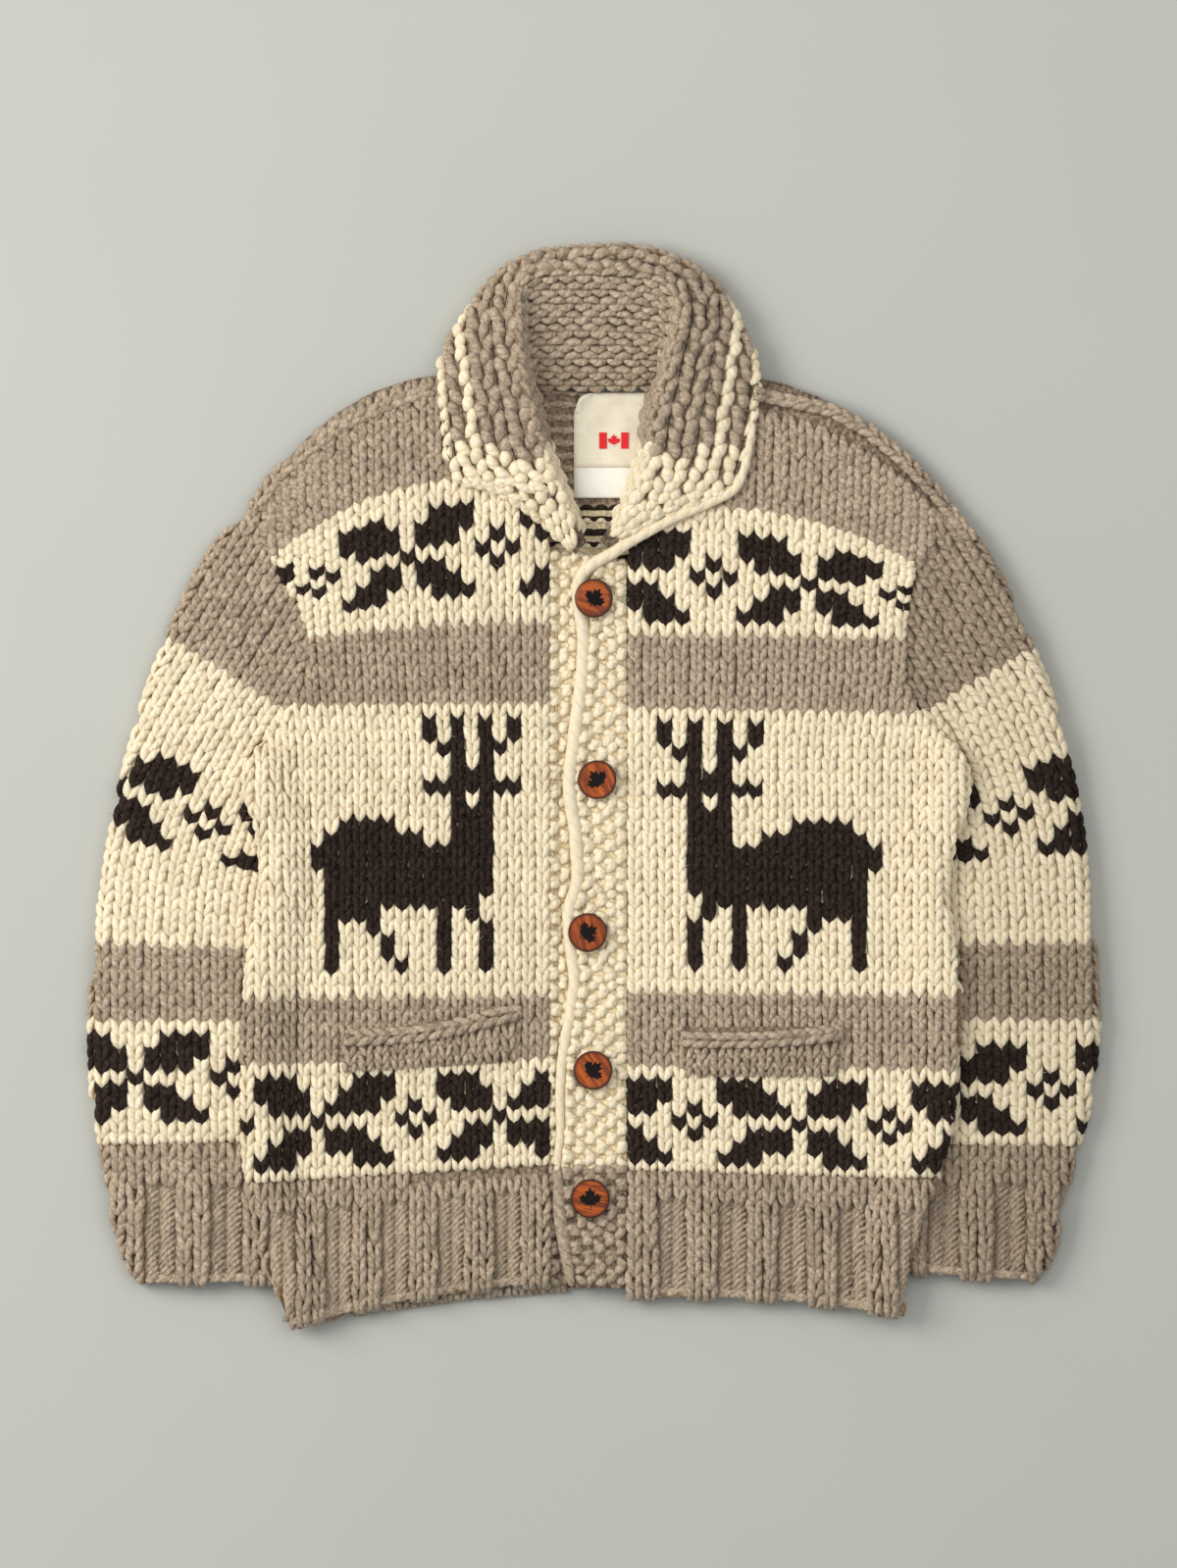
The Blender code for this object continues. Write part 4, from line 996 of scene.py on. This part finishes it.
# ---------------------------------------------------------------- front bands
# Two cream bands in seed stitch, the left one on top with a smooth rolled edge
# that runs on up the collar. Below the stripes the bands are grey like the rib.
BAND_EDGE = (
    # height, place of the upper band's rolled edge
    (165, -3), (140, -5), (111, -6), (75, -8), (46, -12), (20, -15), (3, -17), (-14, -15),
    (-33, -12), (-69, -10), (-91, -18), (-113, -16), (-141, -13), (-170, -17), (-199, -22),
    (-228, -24), (-249, -23), (-275, -26), (-314, -24), (-340, -20), (-367, -15),
)
# x of the straight side and the top of each band
BANDS = {"band_right": (-33.0, 172.0), "band_left": (24.0, 166.0)}
BAND_FOOT = -364.0
SEED = (7.8, 6.7)
SEED_BARS = (
    # length, height, lift, arch and way of the slope: a plain bump, a turned one
    (0.52, 0.52, 0.2, -0.25, -1),
    (0.42, 0.58, 0.7, 0.3, 1),
)


def edge_x(y):
    """Place of the upper band's edge at a height."""
    return between(-y, [-p[0] for p in BAND_EDGE], [p[1] for p in BAND_EDGE])


for name, (side, top) in BANDS.items():
    out = []
    for row in range(81):
        y = BAND_FOOT + row * SEED[1]
        if y > top:
            continue
        first, end = (edge_x(y) + 3.0, side) if name == "band_left" else (side, edge_x(y) + 2.0)
        number = max(int(round((end - first) / SEED[0])), 1)
        pitch = (end - first) / number

        def grid(s, r, first=first, pitch=pitch):
            return first + s * pitch, BAND_FOOT + r * SEED[1]

        for column in range(number):
            length, tall, lift, arch, way = SEED_BARS[(row + column) % 2]
            bar(trees[name], grid, column + 0.5 + rng.uniform(-0.1, 0.1),
                row + 0.5 + rng.uniform(-0.1, 0.1), CREAM if y > BAND_GREY_Y else GREY, out,
                length, 2.9, lift, tall, arch, rng.uniform(-0.2, 1.0) * way)
    stitches[name] = strands_object(name + "_stitches", out, "cream_wool")

roll = [Vector((row[6] + 1.0, row[7] - 1.6, row[8] + 0.4)) for row in COLLAR_SECTIONS[24:30]]
roll += [Vector((12.0, 171.5, 20.5)), Vector((-2.0, 163.5, 20.5)), Vector((-10.0, 155.5, 20.0)),
         Vector((-12.0, 143.0, 19.0)), Vector((-10.0, 126.0, 18.2))]
roll += [Vector((edge_x(y) - 1.6, y, 17.6)) for y in range(110, -288, -14)]
grey_roll = [Vector((edge_x(y) - 1.2, y, 17.4)) for y in range(-276, -372, -8)]
ROLLS = (("rolled_edge", roll, 110, CREAM, "cream_wool"),
         ("rolled_edge_end", grey_roll, 30, GREY, "grey_wool"))
for name, line, steps, yarn, slot in ROLLS:
    swell = [p + Vector((rng.uniform(-0.3, 0.3), 0.0, rng.uniform(-0.25, 0.25)))
             for p in even_line(line, steps - 1)]
    stitches[name] = strands_object(name, [(swell, (0.0, 0.0, 1.0), 5.1, 4.2, yarn, 0.2)], slot,
                                    sides=12, repeat=0.022)

# ---------------------------------------------------------------- inside of the back neck
# The wrong side of the back: rows of purl bumps, with dark and cream floats low down.
out = []


def inside_grid(s, r):
    """The wrong side of the back: columns from the wearer's right, rows from below."""
    return -58.0 + s * 10.5, 150.0 + r * 4.7


for row in range(31):
    for column in range(11):
        x, y = inside_grid(column + 0.5, row + 0.5)
        under_label = -15.0 < x < 40.0 and 205.0 < y < 288.0
        if shows("back", x, y, 9.0) and not under_label:
            yarn = GREY if y > 206.0 else (CREAM if row % 4 == 1 else DARK)
            bar(trees["back"], inside_grid, column + 0.5 + 0.5 * (row % 2), row + 0.5, yarn, out,
                length=0.55, lift=-0.9, tall=0.46, arch=0.45 if row % 2 else -0.45)
stitches["back"] = strands_object("back_inside_stitches", out, "grey_wool")


# ---------------------------------------------------------------- braids
# Cast-off chains: along the pocket lips, on the shoulder seams and round the hems.
def chain(tree, line, pitch, yarn, out, half_width=3.0, lean=0.5, lift=0.4, size=(2.9, 2.3)):
    """Two rows of slanted strands that make a chain along a line of plan points."""
    lengths = running(line)

    def place_at(at):
        return [between(at, lengths, values) for values in zip(*line)]

    for n in range(int(lengths[-1] / pitch) + 1):
        for side in (-1, 1):
            points, normal_sum = [], Vector()
            for i in range(STEPS):
                f = i / (STEPS - 1) - 0.5
                at = (n + 0.5 + f * 1.3 + 0.1 * side) * pitch
                (x, y), (x1, y1), (x2, y2) = place_at(at), place_at(at - 1.0), place_at(at + 1.0)
                run = Vector((x2 - x1, y2 - y1)).normalized()
                off = side * half_width * (0.62 - lean * f)
                spot, normal = lay(tree, x - run.y * off, y + run.x * off)
                normal_sum += normal
                points.append(spot + normal * (lift - 5.0 * f * f))
            normal_sum.normalize()
            out.append((points, normal_sum, size[0] * rng.uniform(0.92, 1.08), size[1],
                        yarn, rng.random()))


# ---------------------------------------------------------------- pocket lips
# Grey one-by-one ribbed lips of two set-in pockets, cast off in a chain.
POCKETS = {
    # outer and inner end of the chain's line, its sag, heights of the foot
    "pocket_right": ((-182, -183.5), (-55, -164), 4.5, (-207, -199)),
    "pocket_left": ((64, -184), (180, -179.5), 2.5, (-210, -210)),
}
for name, (start, end, sag, feet) in POCKETS.items():
    out = []
    braid = [(mix(start[0], end[0], i / 10),
              mix(start[1], end[1], i / 10) - sag * math.sin(math.pi * i / 10)) for i in range(11)]
    chain(whole_tree, braid, 10.2, GREY, out, half_width=3.9, lean=0.95, lift=2.2, size=(3.2, 3.0))
    number = int(abs(end[0] - start[0]) / 11.0)

    def grid(s, r, start=start, end=end, feet=feet, number=number):
        u = s / number
        x = mix(start[0], end[0], u)
        low, high = mix(feet[0], feet[1], u), mix(start[1], end[1], u) - 6.0
        return x, mix(low, high, r / 3)

    for column in range(number):
        for row in range(3):
            stitch(trees[name], grid, column + 0.3, row, GREY, out, 0.8)
            if row < 2:
                bar(trees[name], grid, column + 0.85, row + 0.8, GREY, out,
                    length=0.26, lift=-0.6, tall=0.34)
    stitches[name] = strands_object(name + "_stitches", out, "grey_wool")

# ---------------------------------------------------------------- seams and hem edges
# Shoulder seams worked as a braid on top, and the cast-off chain along the
# lower edge of the ribs.
SEAMS = (
    ((118, 289), (140, 284.5), (173.6, 277), (199.3, 262.5), (225, 242), (250.8, 215), (276.5, 181.5)),
    ((-118, 293), (-142, 285), (-186, 266), (-211, 247), (-233, 228), (-248, 206)),
)
EDGES = {}
for name, panel in PANELS.items():
    in_y, in_x, out_y, out_x, bend = panel["rows"][0]
    EDGES[name.replace("front", "hem")] = [
        (mix(in_x, out_x, u / 20), in_y + (out_y - in_y) * (u / 20) ** bend + 2.2)
        for u in range(21)]
EDGES["cuff_right"] = ((-330, -360.5), (-224, -358.5))
EDGES["cuff_left"] = ((322, -358.5), (220, -350.5))
out = []
for line in SEAMS:
    chain(whole_tree, line, 10.5, GREY, out, half_width=3.2, lean=0.9, lift=2.4, size=(3.3, 3.0))
for name, line in EDGES.items():
    chain(trees[name], line, 9.6, GREY, out, half_width=1.6, lean=0.9, lift=-0.6, size=(2.5, 2.3))
stitches["seams"] = strands_object("seam_braids", out, "grey_wool")

# ---------------------------------------------------------------- buttons
# Turned discs of orange-brown wood with fine dark grain, a darker rim, and a
# leaf burnt in the middle, sewn on the left band.
BUTTONS = (
    # x, y, lean, seat, grain's turn, leaf's turn in degrees
    (-1, 139, 16.0, 22.4, 20.0, -32.0),
    (2, 6, 0.0, 20.0, 65.0, 38.0),
    (-5, -106, 0.0, 20.0, 75.0, -62.0),
    (-1, -207, 0.0, 20.0, 55.0, -48.0),
    (-3, -301, 0.0, 20.0, 10.0, 2.0),
)
BUTTON_THICK = 4.2
LEAF_HALF = (
    # right half of a leaf, tip to stalk, in shares of its height
    (0.0, 0.52), (0.10, 0.32), (0.22, 0.38), (0.19, 0.12), (0.34, 0.22), (0.38, 0.12),
    (0.52, 0.10), (0.42, -0.04), (0.46, -0.12), (0.20, -0.22), (0.22, -0.31), (0.03, -0.27),
    (0.03, -0.52),
)
LEAF = [*LEAF_HALF, *((-a, b) for a, b in reversed(LEAF_HALF[1:-1]))]
LEAF_SIZE = 16.5
leaf_dark, shade, shader = new_material("burnt wood")
soot = shade.noise(shade.place(), 900.0)
finish_material(shade, shader, soot.blend(paint(10, 7, 6), paint(24, 15, 12)), 0.8)
shader.inputs["Specular IOR Level"].default_value = 0.2


def wood(name, centre, turn):
    """Wood with long dark pores along one direction and a darker rim."""
    made, shade, shader = new_material(name)
    place = shade.place()
    turned = shade.node("ShaderNodeMapping", {}, {0: place, 2: (0.0, 0.0, math.radians(turn))})
    long = shade.node("ShaderNodeMapping", {}, {0: turned, 3: (90.0, 1500.0, 90.0)})
    pores = shade.noise(long, 1.0, 3.0)
    broad = shade.node("ShaderNodeMapping", {}, {0: turned, 3: (25.0, 330.0, 25.0)})
    bands = shade.noise(broad, 1.0)
    tone = bands.ramp(0.3, 0.7).blend(paint(118, 46, 6), paint(190, 90, 20))
    tone = (1.0 - pores.ramp(0.30, 0.46)).blend(tone, paint(66, 25, 10))
    away = shade.node("ShaderNodeVectorMath", {"operation": "DISTANCE"},
                      {0: place, 1: (centre[0] * MM, centre[1] * MM, centre[2] * MM)}, out=1)
    rim = away.ramp(0.0112, 0.0138)
    tone = rim.blend(tone, paint(70, 28, 12))
    finish_material(shade, shader, tone, 0.42, pores, 0.0003, 0.6)
    shader.inputs["Coat Weight"].default_value = 0.08
    shader.inputs["Specular IOR Level"].default_value = 0.3
    return made


for number, (x, y, lean, seat, grain_turn, leaf_turn) in enumerate(BUTTONS, start=1):
    node = nodes["button_%d" % number]
    node.data.materials.clear()
    node.data.materials.append(wood("wood %d" % number, (x, y, seat + BUTTON_THICK), grain_turn))
    turn = math.radians(leaf_turn)
    tilt = math.radians(lean)
    w = BUTTON_THICK + 0.06
    points = []
    for a, b in LEAF:
        u = (a * math.cos(turn) - b * math.sin(turn)) * LEAF_SIZE
        v = (a * math.sin(turn) + b * math.cos(turn)) * LEAF_SIZE
        points.append(((x + u * math.cos(tilt) + w * math.sin(tilt)) * MM, (y + v) * MM,
                       (seat - u * math.sin(tilt) + w * math.cos(tilt)) * MM))
    mesh = bpy.data.meshes.new("leaf_%d" % number)
    mesh.from_pydata(points, [], [list(range(len(points)))[::-1]])
    mesh.materials.append(leaf_dark)
    add_piece("leaf_%d" % number, mesh, "button_wood")

# ---------------------------------------------------------------- neck label
# A woven label with a small flag, and a whiter care label below it, sewn inside
# the back neck; the upper corner on the wearer's right has come loose.
LABEL = dict(x=(-15.0, 40.0), y=(213.0, 290.0), care=0.34, rest=6.1, lift=4.6)


def label_sheet(name, v0, v1, rise, colour, thread):
    """A thin woven sheet over a share of the label's height, at its rise above the rest."""
    made, shade, shader = new_material(name)
    place = shade.place()
    across = shade.node("ShaderNodeTexWave", {}, {"Vector": place, "Scale": 700.0, "Distortion": 0.6})
    down = shade.node("ShaderNodeTexWave", {"bands_direction": "Y"}, {"Vector": place, "Scale": 700.0})
    wear = shade.noise(place, 70.0, 4.0)
    tone = (wear * 0.8 + across * down * 0.3).ramp(0.2, 0.6).blend(paint(*thread), paint(*colour))
    finish_material(shade, shader, tone, 0.85, wear + across * down * 0.2, 0.0008, 0.5)
    upper, lower = [], []
    rows, cols = 14, 12
    for j in range(rows):
        v = mix(v0, v1, j / (rows - 1))
        for i in range(cols):
            u = i / (cols - 1)
            loose = max(0.0, 0.24 - u - (1.0 - v)) / 0.24
            x = mix(*LABEL["x"], u) + 4.0 * loose ** 1.5
            y = mix(*LABEL["y"], v) - 4.0 * loose ** 1.5
            z = LABEL["rest"] + rise + LABEL["lift"] * math.sin(min(loose, 1.0) * math.pi * 0.7)
            z += 0.35 * math.sin(u * 9.0 + v * 5.0)
            upper.append((x * MM, y * MM, (z + 0.45) * MM))
            lower.append((x * MM, y * MM, z * MM))
    base = len(upper)
    faces = []
    for j in range(rows - 1):
        for i in range(cols - 1):
            a, b = j * cols + i, j * cols + i + 1
            d, e = b + cols, a + cols
            faces.append((a, b, d, e))
            faces.append((base + e, base + d, base + b, base + a))
    rim = [*range(cols), *range(2 * cols - 1, rows * cols, cols),
           *range(rows * cols - 2, (rows - 1) * cols - 1, -1), *range((rows - 2) * cols, 0, -cols)]
    for a, b in zip(rim, rim[1:] + rim[:1]):
        faces.append((b, a, base + a, base + b))
    mesh = bpy.data.meshes.new(name)
    mesh.from_pydata(upper + lower, [], faces)
    mesh.polygons.foreach_set("use_smooth", np.ones(len(mesh.polygons), bool))
    mesh.materials.append(made)
    return add_piece(name.replace(" ", "_"), mesh, "label_cloth")


label = label_sheet("neck label", LABEL["care"] - 0.05, 1.0, 0.9, (238, 229, 206), (216, 203, 176))
care = label_sheet("care label", 0.0, LABEL["care"], 0.0, (250, 247, 236), (230, 224, 210))
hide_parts("label")

flag_red, shade, shader = new_material("flag red")
threads = shade.node("ShaderNodeTexWave", {}, {"Vector": shade.place(), "Scale": 900.0})
finish_material(shade, shader, threads.blend(paint(196, 16, 26), paint(238, 34, 40)), 0.8)
FLAG = dict(x=(3.6, 25.2), y=(249.0, 261.0), side=5.6, z=8.05, leaf=9.5)
(left_x, right_x), (low_y, high_y) = FLAG["x"], FLAG["y"]
points = []
for x0, x1 in ((left_x, left_x + FLAG["side"]), (right_x - FLAG["side"], right_x)):
    points += [(x0, low_y), (x1, low_y), (x1, high_y), (x0, high_y)]
points += [((left_x + right_x) / 2 + a * FLAG["leaf"], (low_y + high_y) / 2 + b * FLAG["leaf"])
           for a, b in LEAF]
mesh = bpy.data.meshes.new("flag")
mesh.from_pydata([(x * MM, y * MM, FLAG["z"] * MM) for x, y in points], [],
                 [(0, 1, 2, 3), (4, 5, 6, 7), tuple(range(8, len(points)))[::-1]])
mesh.materials.append(flag_red)
flag = add_piece("flag", mesh, "label_cloth")

# ---------------------------------------------------------------- fuzz
# Loose fibres that stand off the yarn all over, thickest at the outlines.
HAIRS = 52000
noise = np.random.default_rng(11)
sources = [o for key, o in stitches.items() if key != "seams"]
weights = np.array([len(o.data.vertices) for o in sources], float)
counts = (weights / weights.sum() * HAIRS).astype(int)
roots, outward, yarn_of = [], [], []
for obj, number in zip(sources, counts):
    mesh = obj.data
    spots, normals = read(mesh.vertices, "co", 3), read(mesh.vertices, "normal", 3)
    face_yarn = read(mesh.polygons, "material_index", kind=np.int32)
    corner = read(mesh.loops, "vertex_index", kind=np.int32)
    starts = read(mesh.polygons, "loop_start", kind=np.int32)
    picked = noise.integers(0, len(mesh.polygons), number)
    vertex = corner[starts[picked]]
    keep = normals[vertex, 2] > -0.2
    roots.append(spots[vertex[keep]])
    outward.append(normals[vertex[keep]])
    yarn_of.append(face_yarn[picked[keep]])
roots, outward, yarn_of = np.concatenate(roots), np.concatenate(outward), np.concatenate(yarn_of)
count = len(roots)
drift = noise.normal(0.0, 1.0, (count, 3))
drift[:, 2] *= 0.45
length = noise.uniform(0.0022, 0.0068, count)[:, None]
way = outward * 0.55 + drift * 0.55
way /= np.linalg.norm(way, axis=1, keepdims=True)
bend = noise.normal(0.0, 0.35, (count, 3))
middle = roots + way * length * 0.55
tip = middle + (way + bend) * length * 0.45
thin = np.cross(way, noise.normal(0.0, 1.0, (count, 3)))
thin /= np.linalg.norm(thin, axis=1, keepdims=True)
thin *= 0.00008
corners = [roots - thin, roots + thin, middle + thin * 0.8, middle - thin * 0.8, tip]
points = np.stack(corners, axis=1).reshape(-1, 3)
points[:, 2] = np.maximum(points[:, 2], 0.0001)
base = (np.arange(count) * 5)[:, None]
faces = [face for ring in ([0, 1, 2, 3], [3, 2, 4]) for face in (base + np.array(ring)).tolist()]
mesh = bpy.data.meshes.new("fuzz")
mesh.from_pydata(points.tolist(), [], faces)
mesh.polygons.foreach_set("material_index", np.concatenate([yarn_of, yarn_of]).astype(np.int32))
FIBRES = (("cream fibre", (240, 226, 192)), ("grey fibre", (176, 156, 134)),
          ("dark fibre", (70, 56, 48)))
for fibre_name, colour in FIBRES:
    made, shade, shader = new_material(fibre_name)
    cloud = shade.noise(shade.place(), 200.0)
    deep = paint(*[int(v * 0.86) for v in colour])
    finish_material(shade, shader, cloud.blend(deep, paint(*colour)), 0.8)
    mesh.materials.append(made)
add_piece("fuzz", mesh, "cream_wool")

# ---------------------------------------------------------------- the cut of each cloth
CUTS = {
    # cloth: width, length, area, how it is held, what it lies on
    "back": (0.52, 0.60, 0.288, "laid", []),
    "front_right": (0.23, 0.60, 0.120, "laid", ["back"]),
    "front_left": (0.24, 0.60, 0.125, "laid", ["back"]),
    "hem_back": (0.50, 0.105, 0.050, "laid", []),
    "hem_right": (0.22, 0.105, 0.021, "laid", ["hem_back"]),
    "hem_left": (0.22, 0.105, 0.021, "laid", ["hem_back"]),
    "sleeve_right": (0.26, 0.42, 0.100, "laid", []),
    "sleeve_left": (0.26, 0.42, 0.100, "laid", []),
    "cuff_right": (0.235, 0.10, 0.022, "laid", []),
    "cuff_left": (0.235, 0.10, 0.022, "laid", []),
    "band_right": (0.050, 0.535, None, "laid", ["back"]),
    "band_left": (0.042, 0.535, None, "laid", ["band_right"]),
    "collar": (0.65, 0.13, None, "folded", ["back", "front_right", "front_left"]),
    "pocket_right": (0.13, 0.032, None, "laid", ["front_right"]),
    "pocket_left": (0.115, 0.036, None, "laid", ["front_left"]),
}
for name, (width, length, area, held, below) in CUTS.items():
    extra = [stitches[name]] if name in stitches else []
